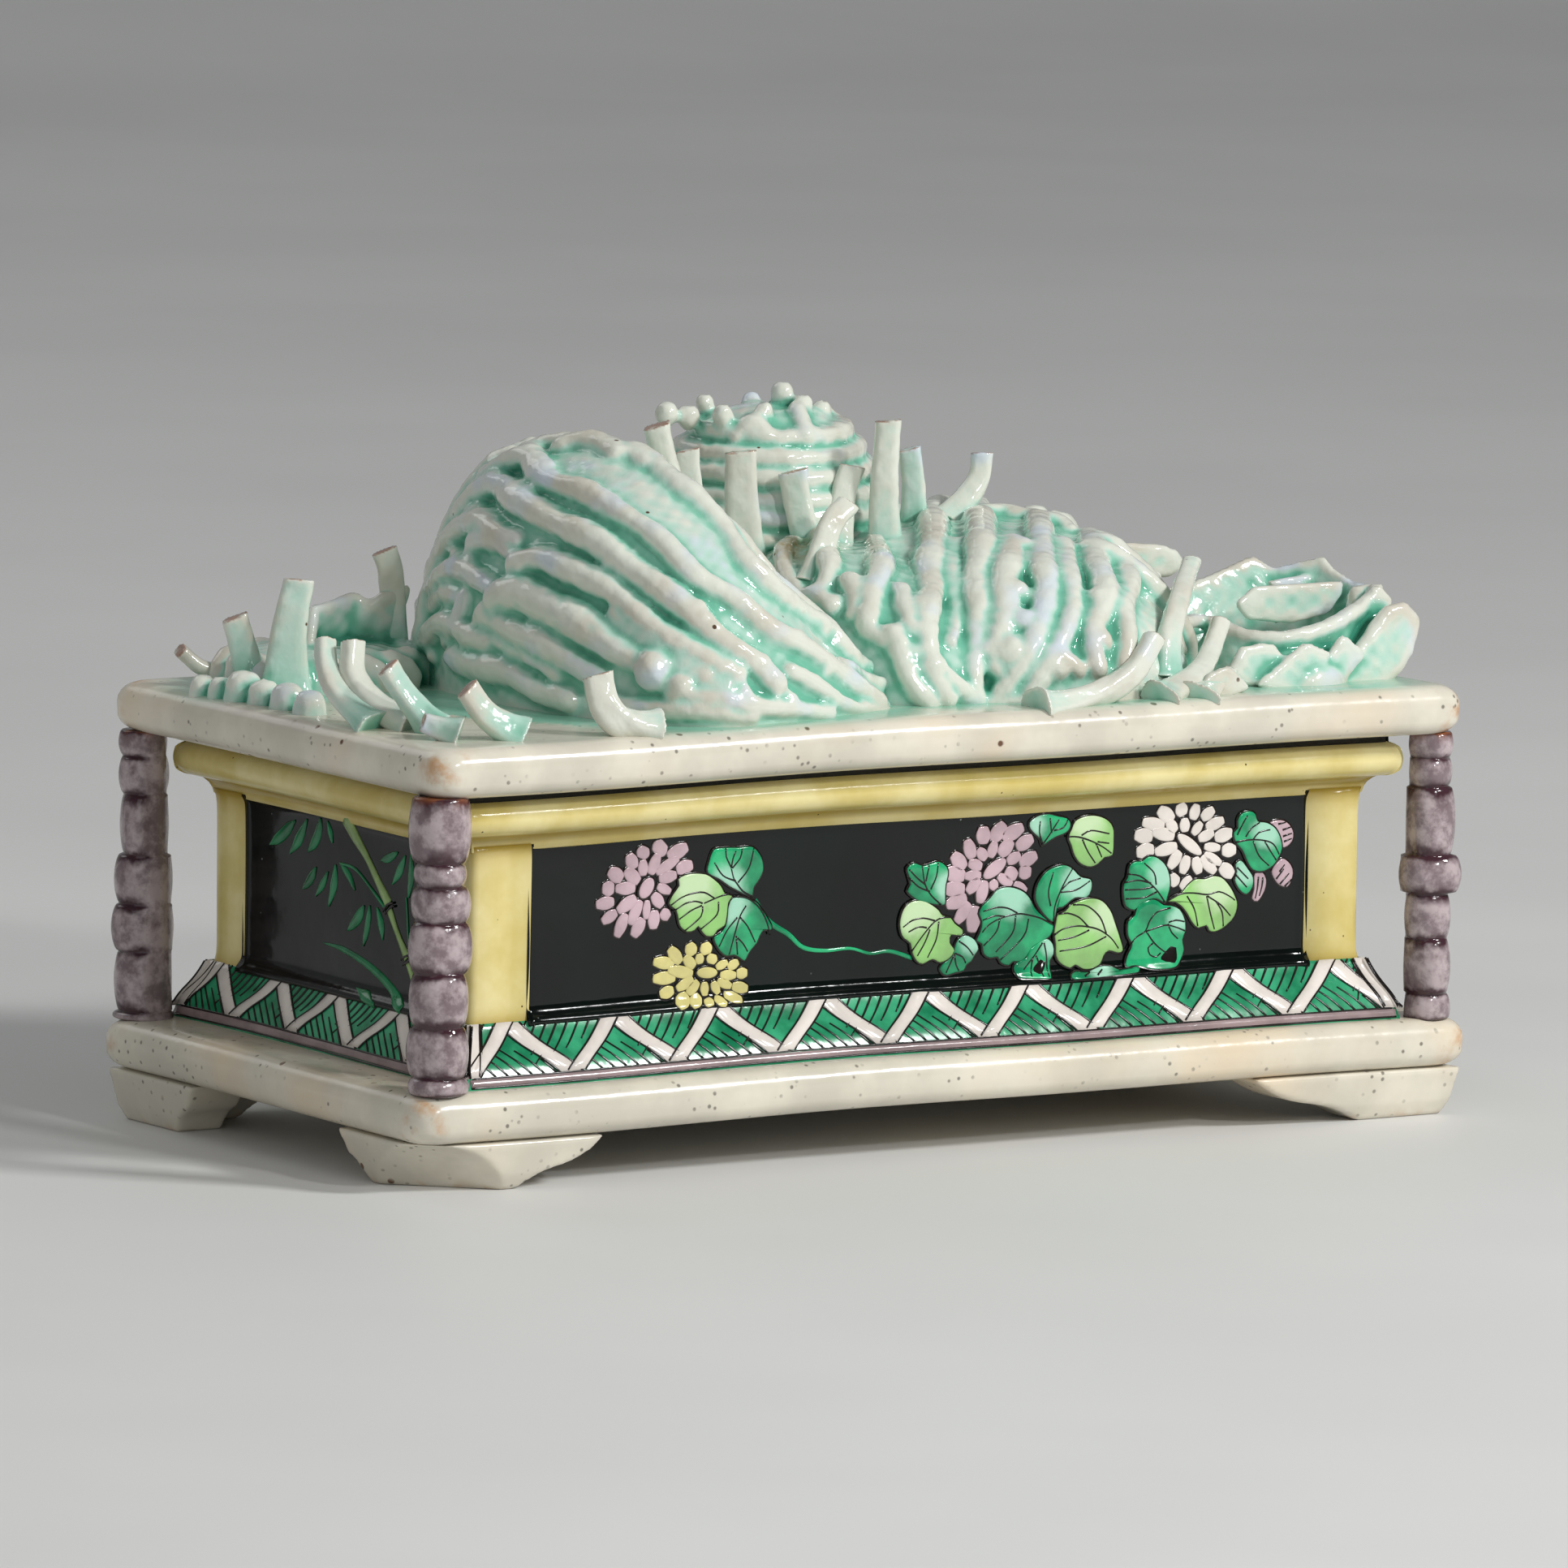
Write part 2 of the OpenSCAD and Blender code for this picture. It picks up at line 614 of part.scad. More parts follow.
module ledge_shape() {
    crest = [[-64, 22, 66], [-62, 24, 70.4], [-58.5, 25, 70.6], [-54.6, 26, 71.6],
        [-52.6, 25, 70.2], [-51, 24, 71.6], [-47.6, 24, 72.4]];
    intersection() {
        union() {
            dome_body(LEDGE_DOME);
            for (i = [0:len(crest) - 2])
                hull() {
                    translate(crest[i])
                        sphere(r = 1.1, $fn = 6);
                    translate(crest[i + 1])
                        sphere(r = 1.1, $fn = 6);
                    translate([crest[i][0], crest[i][1] + 3, 62])
                        sphere(r = 2.4, $fn = 6);
                }
            for (az = [200:22:350])
                ridge(LEDGE_DOME, [[az, 50], [az + 8, 25], [az + 12, 5]], 1.5);
        }
        above_slab();
    }
}

module all_rocks() {
    left_shape();
    middle_shape();
    right_shape();
    coil_shape();
    ledge_shape();
}

module peak_left() {
    color(CELADON)
        left_shape();
}

module peak_middle() {
    color(CELADON)
        difference() {
            middle_shape();
            left_shape();
        }
}

module rock_right() {
    color(CELADON)
        difference() {
            right_shape();
            left_shape();
            middle_shape();
        }
}

module peak_right() {
    color(CELADON)
        difference() {
            coil_shape();
            right_shape();
        }
}

module ledge_left() {
    color(CELADON)
        difference() {
            ledge_shape();
            left_shape();
        }
}

module stone_row() {
    color(CELADON)
        difference() {
            intersection() {
                for (place = STONES)
                    knob(place[0], place[1]);
                above_slab();
            }
            ledge_shape();
            for (strip = STRIPS)
                strip_shape(strip);
        }
}

// An oval slice of a strip, square to its run
module slice(at, run, width, thick, facing) {
    run_n = run / norm(run);
    translate(at)
        rotate(a = acos(run_n[2]), v = [-run_n[1], run_n[0], 0.0001])
            rotate([0, 0, facing])
                scale([width, thick, 1])
                    cylinder(h = 0.3, r = 0.5, center = true, $fn = 8);
}

// A strip that tapers from its root to a cut tip
module strip_shape(strip) {
    path = strip[1];
    last = len(path) - 1;
    for (i = [0:last - 1])
        hull() {
            slice(path[i], path[i + 1] - path[max(i - 1, 0)], strip[2] + (strip[3] - strip[2]) * i / last,
                strip[4], strip[5]);
            slice(path[i + 1], path[min(i + 2, last)] - path[i],
                strip[2] + (strip[3] - strip[2]) * (i + 1) / last, strip[4], strip[5]);
        }
}

// A strip as it stands on the rocks and the slab
module rooted_strip(strip) {
    color(CELADON)
        difference() {
            intersection() {
                strip_shape(strip);
                above_slab();
            }
            all_rocks();
        }
}

base_slab();
top_slab();
for (corner = CORNERS) {
    foot(corner);
    corner_post(corner);
    column(corner);
}
for (wall = WALLS) {
    panel(wall);
    skirt(wall);
    cornice(wall);
}
peak_left();
peak_middle();
rock_right();
peak_right();
ledge_left();
stone_row();
for (strip = STRIPS)
    rooted_strip(strip);
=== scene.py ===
"""Dresses a glazed brush rest: ridged clay mountain, painted stand, floor and light."""

import math
from functools import partial

import bmesh
import bpy
import numpy as np
from bpy.props import FloatProperty, FloatVectorProperty, IntProperty, PointerProperty
from bpy.types import Operator, Panel, PropertyGroup
from mathutils import Matrix, Vector
from mathutils.bvhtree import BVHTree


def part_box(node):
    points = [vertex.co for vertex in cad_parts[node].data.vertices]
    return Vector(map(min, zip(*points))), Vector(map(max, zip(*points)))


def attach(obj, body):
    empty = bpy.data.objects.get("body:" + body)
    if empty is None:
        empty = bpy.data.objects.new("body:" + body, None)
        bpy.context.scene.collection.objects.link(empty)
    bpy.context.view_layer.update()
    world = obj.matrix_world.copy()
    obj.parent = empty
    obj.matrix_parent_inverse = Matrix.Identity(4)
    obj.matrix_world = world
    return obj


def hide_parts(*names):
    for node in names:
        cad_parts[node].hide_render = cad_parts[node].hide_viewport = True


bl_info = {
    "name": "Glazed Brush Rest",
    "version": (1, 0, 0),
    "blender": (4, 5, 0),
    "location": "3D View > Sidebar > Brush Rest",
    "description": "Builds the glaze, clay and painting of a ceramic brush rest",
    "category": "Object",
}

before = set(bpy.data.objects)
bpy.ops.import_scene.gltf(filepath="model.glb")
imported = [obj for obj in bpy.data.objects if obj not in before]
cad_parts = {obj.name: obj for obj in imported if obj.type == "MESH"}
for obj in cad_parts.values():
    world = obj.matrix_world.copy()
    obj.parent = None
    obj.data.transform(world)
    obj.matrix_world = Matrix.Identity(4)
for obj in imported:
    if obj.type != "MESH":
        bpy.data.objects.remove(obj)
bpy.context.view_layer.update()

# Every length in this file is in millimetres until a mesh is made
MM = 0.001
SIDES = {"front": 0, "right": 90, "back": 180, "left": 270}
CORNERS = {
    "front_left": (-1, -1),
    "front_right": (1, -1),
    "back_left": (-1, 1),
    "back_right": (1, 1),
}


def node_box(name):
    low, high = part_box(name)
    return np.array(low) / MM, np.array(high) / MM


BASE_LOW, BASE_HIGH = node_box("base_slab")
TOP_LOW, TOP_HIGH = node_box("top_slab")
FLOOR_Z, DECK_Z, TOP_Z = BASE_HIGH[2], TOP_LOW[2], TOP_HIGH[2]
POST_LOW, POST_HIGH = node_box("corner_post_front_right")
BODY_L, BODY_W = POST_HIGH[0], -POST_LOW[1]
CORNICE_Z = POST_HIGH[2]
SKIRT_TOP = node_box("skirt_front")[1][2]
SKIRT_OUT = {
    "front": -node_box("skirt_front")[0][1] - BODY_W,
    "right": node_box("skirt_right")[1][0] - BODY_L,
}
SKIRT_OUT["back"], SKIRT_OUT["left"] = SKIRT_OUT["front"], SKIRT_OUT["right"]
POST_FACE = POST_HIGH[0] - node_box("panel_front")[1][0]
POST_SIDE = -POST_LOW[1] - node_box("panel_right")[1][1]

# Domes under the mountain: centre, radii right back left front, height, side and top curves
DOMES = {
    "left": ((-32, 0), (46, 33, 20.5, 40), 36, (3.4, 0.8, 0.9, 1.1), (2.2, 1, 1, 1.2)),
    "middle": ((7.5, 19), (19.5, 17, 18, 16.5), 37, (0.6, 0.6, 0.6, 0.6), (1, 1, 1, 1)),
    "right": ((30, 4), (28, 34, 34, 42), 22.5, (0.7, 0.6, 0.7, 0.95), (1, 1, 1, 1)),
    "saddle": ((4, 0), (24, 14, 17, 32), 20, (0.7, 0.6, 0.8, 1), (1, 1, 1, 1)),
    "coil": ((64, -16), (16, 18, 16, 24), 10, (0.4, 0.45, 0.5, 0.45), (1, 1, 1, 1)),
    "ledge": ((-61, 23), (16, 15, 16, 11), 7, (0.4, 0.4, 0.4, 0.4), (1, 1, 1, 1)),
}
# Enlarged views of the photograph that the rock's front is drawn in: corner and scale
PEAK_VIEW = ((500, 450), 2.119)
ROCK_VIEW = ((1140, 540), 2.45)
# Ridges on the left peak's front: x, y of each point in its view, then radii along the ridge
LEFT_RIDGES = [
    ([332, 240, 350, 285, 400, 312, 470, 338, 540, 375, 600, 415, 650, 450, 700, 500, 760, 560, 830, 600,
     870, 630, 940, 690, 1010, 725, 1080, 775, 1160, 830, 1230, 885], (1.7, 1.6, 1.6, 1.3)),
    ([205, 275, 260, 320, 300, 360, 380, 400, 450, 440, 520, 475, 600, 540, 680, 600, 750, 650, 820, 720,
     880, 765, 930, 800, 960, 830], (1.9, 1.8, 1.8, 1.5)),
    ([600, 235, 640, 250, 690, 310, 760, 370, 830, 440, 880, 520, 950, 590, 1010, 630, 1080, 680, 1130, 705,
     1200, 745, 1300, 800, 1400, 860, 1480, 905], (2.0, 1.6, 1.5, 1.2)),
    ([790, 350, 850, 390, 900, 440, 940, 500, 965, 560, 985, 600], (1.4, 1.3, 0.8)),
    ([415, 218, 480, 210, 550, 240], (1.6, 2.0, 1.4)),
    ([300, 520, 345, 508, 430, 535, 510, 570, 570, 620, 640, 680, 700, 720, 780, 765, 860, 810],
     (1.8, 1.6, 1.4)),
    ([185, 525, 178, 482, 215, 455, 262, 466, 288, 502], (1.2, 1.5, 1.2)),
    ([255, 615, 320, 602, 400, 645, 480, 690, 560, 740, 612, 775], (2.3, 2.4, 1.8)),
    ([225, 655, 290, 688, 360, 728, 440, 772, 510, 815], (1.9, 1.8, 1.5)),
    ([140, 765, 200, 784, 280, 808, 350, 845, 430, 880], (1.9, 1.7, 1.4)),
    ([550, 650, 620, 705, 690, 750, 760, 790, 840, 835], (1.1, 1.2, 0.9)),
    ([600, 760, 680, 775, 760, 815, 840, 850, 900, 880], (1.2, 1.0, 0.9)),
    ([700, 860, 800, 872, 900, 885, 1000, 900, 1100, 908], (1.3, 1.2, 1.0)),
    ([1000, 800, 1080, 850, 1160, 892, 1260, 915], (1.2, 1.0, 0.8)),
    ([1130, 790, 1230, 835, 1330, 878, 1430, 908], (1.1, 1.1, 0.9)),
    ([540, 885, 660, 897, 780, 905, 900, 915], (1.2, 1.2, 1.0)),
    ([155, 510, 112, 468], (1.4, 0.7)),
    ([218, 265, 190, 232], (1.6, 1.0)),
    ([272, 250, 238, 218], (1.4, 0.9)),
    ([88, 628, 120, 602, 160, 604], (1.4, 1.6, 1.2)),
    ([166, 612, 152, 670, 112, 722], (1.3, 1.5, 0.9)),
    ([132, 764, 180, 760, 208, 794], (1.4, 1.6, 1.1)),
    ([146, 332, 185, 385, 240, 430, 298, 456], (1.4, 1.6, 1.2)),
    ([88, 402, 70, 450, 82, 500, 108, 540], (1.1, 1.2, 0.9)),
    ([300, 192, 345, 160, 400, 172, 450, 168, 487, 144, 530, 160, 600, 172, 650, 178], (1.5, 1.3, 1.4, 1.2)),
    ([300, 185, 318, 225, 332, 250], (1.6, 1.3, 1.1)),
    ([60, 560, 48, 620, 52, 690, 80, 760], (1.3, 1.5, 1.1)),
    ([205, 700, 260, 720, 330, 765, 400, 808], (1.0, 1.1, 0.9)),
]
# Lumps on its ridges: x and y in the view, and radius
LEFT_LUMPS = [
    (690, 488, 1.5), (862, 624, 1.6), (1012, 722, 1.5), (1142, 700, 1.5), (757, 650, 1.7), (917, 790, 1.8),
    (652, 800, 2.8), (722, 846, 1.9), (1092, 800, 1.0), (782, 815, 1.3), (582, 205, 1.2), (470, 440, 1.2),
    (345, 158, 1.3), (487, 140, 1.5), (305, 200, 1.5), (210, 660, 1.7), (262, 612, 1.9), (300, 520, 1.6),
    (480, 660, 1.2), (1240, 752, 1.1), (1000, 880, 1.2), (880, 862, 1.2),
]
# Ridges on the right-hand rock's front, in its view
RIGHT_RIDGES = [
    ([10, 165, 22, 240, 26, 320, 12, 400, 12, 480, -6, 560, 2, 640, 20, 720, 60, 790], (1.8, 2.0, 1.9, 1.4)),
    ([150, 215, 168, 290, 165, 380, 150, 450, 162, 530, 155, 610, 140, 700, 144, 790], (1.9, 2.1, 1.9, 1.3)),
    ([350, 225, 345, 300, 350, 400, 364, 470, 345, 560, 320, 640, 270, 720, 195, 800], (1.7, 1.8, 1.9, 1.3)),
    ([262, 330, 252, 390, 235, 450, 242, 540, 215, 630, 216, 700], (1.6, 2.2, 2.0, 1.4)),
    ([415, 330, 432, 420, 440, 520, 415, 600, 370, 680, 322, 760, 300, 805], (1.4, 1.4, 1.6, 1.3)),
    ([500, 300, 516, 400, 540, 480, 508, 560, 500, 640, 516, 695], (1.8, 2.1, 1.8, 1.4)),
    ([592, 400, 610, 450, 592, 520, 606, 600, 596, 690], (1.5, 1.6, 1.2)),
    ([60, 190, 120, 196, 170, 215], (1.4, 1.5, 1.3)),
    ([200, 190, 238, 176, 285, 186, 345, 202], (1.5, 1.7, 1.4)),
    ([345, 232, 380, 218, 415, 240, 434, 280], (1.5, 1.7, 1.1)),
    ([205, 645, 290, 640, 322, 690], (1.6, 1.9, 1.3)),
    ([335, 695, 400, 662, 460, 705], (1.4, 1.7, 1.1)),
    ([40, 700, 100, 765, 160, 805], (1.2, 1.3, 1.0)),
    ([160, 822, 260, 800, 340, 770], (1.1, 1.2, 1.0)),
    ([-100, 600, -70, 660, -40, 740, 10, 800], (1.5, 1.7, 1.2)),
    ([90, 320, 80, 420, 86, 520, 75, 620], (0.9, 1.0, 0.8)),
]
RIGHT_LUMPS = [
    (290, 345, 1.7), (272, 480, 1.9), (300, 565, 1.8), (262, 655, 2.2), (520, 500, 1.8), (160, 470, 1.7),
    (20, 420, 1.7), (0, 600, 1.8), (530, 620, 1.5), (20, 700, 1.9), (90, 240, 1.4), (400, 700, 1.6),
]
# Ridges of the saddle between the peaks, in the left peak's view
SADDLE_RIDGES = [
    ([1062, 428, 1090, 480, 1106, 550, 1080, 604], (1.8, 2.0, 1.2)),
    ([1226, 470, 1240, 540, 1216, 600, 1206, 680], (1.4, 1.8, 1.4)),
    ([1060, 604, 1112, 632], (1.3, 1.5)),
    ([1160, 572, 1180, 605, 1172, 652], (1.4, 1.5, 1.1)),
    ([1290, 590, 1302, 640, 1322, 700], (1.4, 1.6, 1.3)),
    ([1200, 690, 1260, 722, 1330, 764], (1.1, 1.3, 1.0)),
    ([1010, 470, 985, 500, 1000, 560, 1040, 610], (1.2, 1.3, 0.9)),
]
# Flat lobes and slabs of clay at the right: corners in the rock's view, depth in mm, radius
RIGHT_LOBES = [
    ([545, 332, 620, 330, 700, 336, 746, 348, 764, 376, 735, 402, 640, 400], 0, 0.9),
    ([600, 412, 650, 398, 698, 416, 698, 496, 640, 520, 604, 480], -7, 0.9),
]
COIL_LOBES = [
    ([948, 500, 1000, 458, 1100, 474, 1180, 478, 1252, 442, 1244, 470, 1206, 520, 1100, 545, 972, 535], -15,
     0.7),
    ([1040, 436, 1110, 424, 1188, 420, 1180, 446, 1060, 452], -8, 0.5),
    ([1150, 624, 1212, 652, 1176, 744, 1110, 764, 1012, 744], -33, 0.6),
    ([1262, 602, 1318, 652, 1250, 738, 1184, 750, 1200, 690], -32, 0.6),
    ([862, 714, 912, 694, 970, 752, 900, 778, 806, 790], -37, 0.5),
    ([1300, 458, 1345, 450, 1370, 474, 1332, 540, 1292, 524], -22, 0.8),
    ([1364, 456, 1394, 492, 1384, 532, 1342, 604, 1322, 590, 1340, 500], -26, 0.8),
    ([1440, 512, 1474, 552, 1452, 640, 1420, 692, 1366, 744, 1284, 742, 1264, 706, 1330, 620, 1396, 524], -30,
     1.1),
    ([960, 640, 1040, 630, 1090, 700, 1000, 740, 920, 720], -31, 0.8),
]
# The coil's rolled edge: places in the rock's view with their depth
COIL_BAND = [
    (880, 560, -20), (930, 586, -23), (1000, 604, -26), (1100, 602, -28), (1200, 576, -28), (1290, 526, -27),
    (1344, 482, -25), (1362, 456, -24),
]
COIL_RIM = [
    (700, 470, -2), (790, 452, -2), (850, 428, -2), (920, 396, -2), (988, 366, -2), (1040, 404, -3),
    (1110, 388, -5), (1196, 368, -8), (1226, 404, -10), (1284, 440, -14), (1340, 450, -18),
]
COIL_RING = [
    (772, 640, -24), (756, 590, -22), (790, 556, -19), (850, 552, -18), (900, 580, -21),
]
# Knobs round the middle peak's top: x, y, z, radius
CROWN = [
    (-9, 19, 95.2, 1.9), (-5.5, 19, 94.6, 1.9), (-2.5, 15, 95.2, 1.7), (3, 13, 95.6, 1.5),
    (8.5, 17, 97.4, 1.9), (10, 14, 96.2, 1.6), (14.4, 16, 95, 1.6), (17, 20, 94.6, 1.5), (0.4, 24, 95.8, 1.5),
    (8.6, 25, 95.6, 1.5),
]
# Stones along the left edge: x, y, z, radius
STONES = [
    (-80, 23, 61, 1.9), (-79.4, 19, 61, 2), (-78.4, 15, 61.6, 2.7), (-78, 10.4, 61.2, 2.3),
    (-77.6, 5, 61.2, 2.5), (-77.8, -1, 61, 2.3),
]
# Cut strips: name after strip_, points from root to tip, root width, tip width, thickness, facing
STRIPS = [
    ("left_1", [(-71, 30, 61), (-76, 30, 62.5), (-79, 31, 65)], 3.5, 3, 2.2, 60),
    ("left_2", [(-73.5, 20, 60), (-75.5, 20, 66), (-77, 20, 70.6)], 5, 3.6, 2.4, -30),
    ("left_3", [(-72.5, 14, 60), (-72, 14, 69), (-70.5, 14, 76)], 7, 4.2, 2.4, -33),
    ("left_4", [(-48.5, 25, 62), (-49.8, 24, 74), (-51, 24, 78)], 4, 3.6, 1.8, -30),
    ("left_5", [(-78, -18, 60), (-80, -12, 64), (-79.5, -8, 67.5), (-78.5, -6, 70.4)], 5, 3, 2.6, 20),
    ("left_6", [(-73, -20, 60), (-76, -15, 62.5), (-77, -11, 66), (-76, -9, 70.4)], 6, 3.4, 3, 20),
    ("left_7", [(-72.5, -24, 60), (-76, -22, 65), (-78, -21, 68.4)], 4, 3.4, 2.6, 10),
    ("left_8", [(-66, -35, 60), (-70.5, -34, 63), (-73, -33, 66.6)], 4.4, 3.4, 2.6, 0),
    ("left_9", [(-74, -33, 60.4), (-78, -30, 62)], 4, 1.8, 3, 60),
    ("front_1", [(-47, -38.2, 60), (-52, -38, 61.4), (-54, -37, 64), (-54.4, -36, 67.8)], 5, 4.2, 3.4,
     -20),
    ("front_2", [(39, -33, 62), (40, -32, 67), (45, -27, 71.7), (52.4, -19, 75.8)], 4, 2.6, 2.6, 10),
    ("front_3", [(14, -38.6, 60), (24, -38.6, 61.2), (30, -38, 63.7), (35, -36, 68.2)], 5.6, 2.8, 3.2,
     10),
    ("front_4", [(34, -39, 60), (43, -34.4, 62.4), (48.4, -30, 65), (52, -27, 68.5)], 4.4, 2.6, 2.6,
     10),
    ("front_5", [(40, -39.6, 60), (49.4, -33.4, 62.4)], 5, 1.6, 1.8, 10),
    ("valley_1", [(-4.5, 5, 74), (-5, 6, 85), (-5.2, 6, 91.2)], 6, 4.4, 2.6, -33),
    ("valley_2", [(4, 1, 74), (2.6, 3.6, 84), (2, 4, 88.4)], 4, 4.2, 2.4, -40),
    ("valley_3", [(8.6, 2.4, 74), (10.6, 4.6, 84), (12.4, 5, 88.5)], 4, 3.6, 2.2, -20),
    ("valley_4", [(14.8, 0, 76), (15, 1, 85), (15.5, 1, 95)], 5, 3.6, 3.2, -33),
    ("valley_5", [(22.6, 5, 78), (22.4, 5, 85.4), (21.6, 5, 90.5)], 4, 3.2, 2, -33),
    ("valley_6", [(-3, -9, 74), (1, -7, 81.8), (4.6, -6, 84.8)], 4.4, 3.2, 2.4, -10),
    ("valley_7", [(27.5, 4, 80), (32.2, 4, 85.4), (33, 4, 89.5)], 4, 3, 3, -33),
    ("valley_8", [(-13.4, 3, 74), (-15, 3.6, 87), (-15.4, 4, 92)], 4.6, 3.6, 2, -33),
    ("crest", [(-19, -3, 78), (-22.4, -2, 90), (-24, -2, 96.4)], 5.6, 3.6, 3.4, -33),
    ("back_1", [(-30, 33, 60), (-33, 35, 68), (-32, 36, 74)], 4.6, 3.2, 2.6, 20),
    ("back_2", [(34, 34, 60), (37, 36, 67), (41, 36, 71)], 4.6, 3, 2.4, 10),
]
CAMERA_YAW, CAMERA_PITCH, CAMERA_ROLL = 33.012, 7.289, 0.907
CAMERA_DISTANCE, CAMERA_LENS, SENSOR = 2276.8, 383.0, 36.0
CAMERA_RIGHT, CAMERA_UP, CAMERA_AIM_Z = -1.096, -4.128, 50.0
PHOTO_SIZE = 1932
PANEL_LOW, PANEL_HIGH = SKIRT_TOP - 0.7, CORNICE_Z + 0.3
# Sides of a roll of clay, and the direction that its seam turns to
TUBE_SIDES, TUBE_SEAM = 12, (0.3, 0.2, 0.93)
# Round edges and corners of the slabs, and how far a corner's wear reaches
SLAB_EDGE, SLAB_CORNER, WEAR_REACH = 2.7, 3.4, 3.2
# Grid size of the feet's and strips' skin, and the rounds that smooth it
FOOT_SKIN, STRIP_SKIN = (0.45, 5), (0.22, 3)
# Space between the columns of points along a wall, and a column's rough height
WALL_STEP, COLUMN_TALL = 1.5, 39
# Pixels of the photograph to a millimetre at its walls
PHOTO_GRAIN = 9.03


class ClaySettings(PropertyGroup):
    skin: FloatProperty(name="Skin", description="Grid size of the clay skin, in mm", default=0.42)
    ridge: FloatProperty(name="Ridge", description="Radius of a clay ridge, in mm", default=1.85)
    melt: IntProperty(name="Melt", description="How far the glaze rounds the clay", default=9)
    sway: FloatProperty(name="Sway", description="Unevenness of the hand-built stand, in mm", default=0.2)


def paint(name, description, default):
    """A colour that a user can change, as it looks on a screen."""
    return FloatVectorProperty(name=name, description=description, default=default, size=3, subtype="COLOR_GAMMA")


class GlazeSettings(PropertyGroup):
    ivory: paint("Ivory", "Slabs and feet", (0.855, 0.83, 0.765))
    pale: paint("Pale", "Mountain's ridges", (0.85, 0.86, 0.81))
    pool: paint("Pool", "Mountain's hollows", (0.45, 0.72, 0.62))
    yellow: paint("Yellow", "Posts and cornice", (0.86, 0.78, 0.45))
    black: paint("Black", "Panels", (0.02, 0.035, 0.028))
    emerald: paint("Emerald", "Band and dark leaves", (0.08, 0.56, 0.37))
    lime: paint("Lime", "Light leaves", (0.62, 0.82, 0.50))
    aubergine: paint("Aubergine", "Columns", (0.60, 0.52, 0.54))
    petal: paint("Petal", "Pink-grey flowers", (0.74, 0.64, 0.67))
    white: paint("White", "Straps and the white flower", (0.87, 0.84, 0.81))


class StageSettings(PropertyGroup):
    key: FloatProperty(name="Key", description="Power of the main light, in W", default=12.0)
    fill: FloatProperty(name="Fill", description="Power of the fill light, in W", default=1.6)
    sky: FloatProperty(name="Sky", description="Strength of the light all round", default=0.36)
    floor: paint("Floor", "Colour of the floor", (0.86, 0.86, 0.85))


def linear(colour):
    """A screen colour as the linear colour that a shader takes."""
    values = [c / 12.92 if c < 0.04045 else ((c + 0.055) / 1.055) ** 2.4 for c in colour]
    return (*values, 1.0)


def shade(colour, factor):
    """A colour made darker or brighter."""
    return tuple(min(1.0, c * factor) for c in colour)


def sway(points):
    """Moves points a little, the same way everywhere, as a stand built by hand is uneven."""
    amount = bpy.context.scene.clay.sway
    x, y, z = points.T
    shift = np.stack(
        [
            np.sin(y / 19 + z / 31 + 0.7) + 0.5 * np.sin(x / 13 + z / 17 + 2.1),
            np.sin(x / 27 + z / 29 + 1.9) + 0.5 * np.sin(x / 11 + y / 15 + 0.4),
            np.sin(x / 33 + y / 21 + 3.1) + 0.5 * np.sin(x / 12.5 + y / 18 + 5.2),
        ],
        axis=1,
    )
    return points + amount * np.clip(z / 7, 0, 1)[:, None] * shift


def turn(points, degrees):
    """Points turned about the upright axis, from the front to another side."""
    a = math.radians(degrees)
    rotation = np.array([[math.cos(a), math.sin(a), 0], [-math.sin(a), math.cos(a), 0], [0, 0, 1]])
    return np.asarray(points, float) @ rotation


def bend(a, b, c, d, t):
    """A point on the smooth curve between b and c, with a before them and d after."""
    return 0.5 * (2 * b + (c - a) * t + (2 * a - 5 * b + 4 * c - d) * t * t + (3 * b - a - 3 * c + d) * t ** 3)


def smooth_path(points, step):
    """A smooth curve through a few points, in even steps."""
    p = np.asarray(points, float)
    if len(p) == 2:
        count = max(2, int(np.linalg.norm(p[1] - p[0]) / step) + 1)
        return p[0] + np.linspace(0, 1, count)[:, None] * (p[1] - p[0])
    ends = np.vstack([2 * p[0] - p[1], p, 2 * p[-1] - p[-2]])
    out = []
    for i in range(1, len(ends) - 2):
        a, b, c, d = ends[i - 1:i + 3]
        count = max(1, int(round(np.linalg.norm(c - b) / step)))
        out.extend(bend(a, b, c, d, t) for t in np.arange(count) / count)
    out.append(ends[-2])
    return np.array(out)


def headings(path):
    """The direction of a path at each of its points."""
    along = np.gradient(path, axis=0)
    return along / (np.linalg.norm(along, axis=1)[:, None] + 1e-9)


def join(shells):
    """Several closed shells as one list of points and one of faces."""
    points, faces, start = [], [], 0
    for shell_points, shell_faces in shells:
        points.append(np.asarray(shell_points, float))
        faces.extend([tuple(i + start for i in face) for face in shell_faces])
        start += len(shell_points)
    return np.vstack(points), faces


def ring_faces(rows, columns, closed=True):
    """The faces between rows of points; closed rows run all the way round."""
    faces = []
    for i in range(rows - 1):
        for j in range(columns if closed else columns - 1):
            k = (j + 1) % columns
            a, b = i * columns, (i + 1) * columns
            faces.append((a + j, a + k, b + k, b + j))
    return faces


def rod_faces(rows, columns):
    """The faces of a closed body made of rings, with its two ends."""
    last = (rows - 1) * columns
    return ring_faces(rows, columns) + [tuple(reversed(range(columns))), tuple(range(last, last + columns))]


def row(x, y, z):
    """Points side by side; any of x, y and z may be one value for all."""
    return np.column_stack(np.broadcast_arrays(x, y, z))


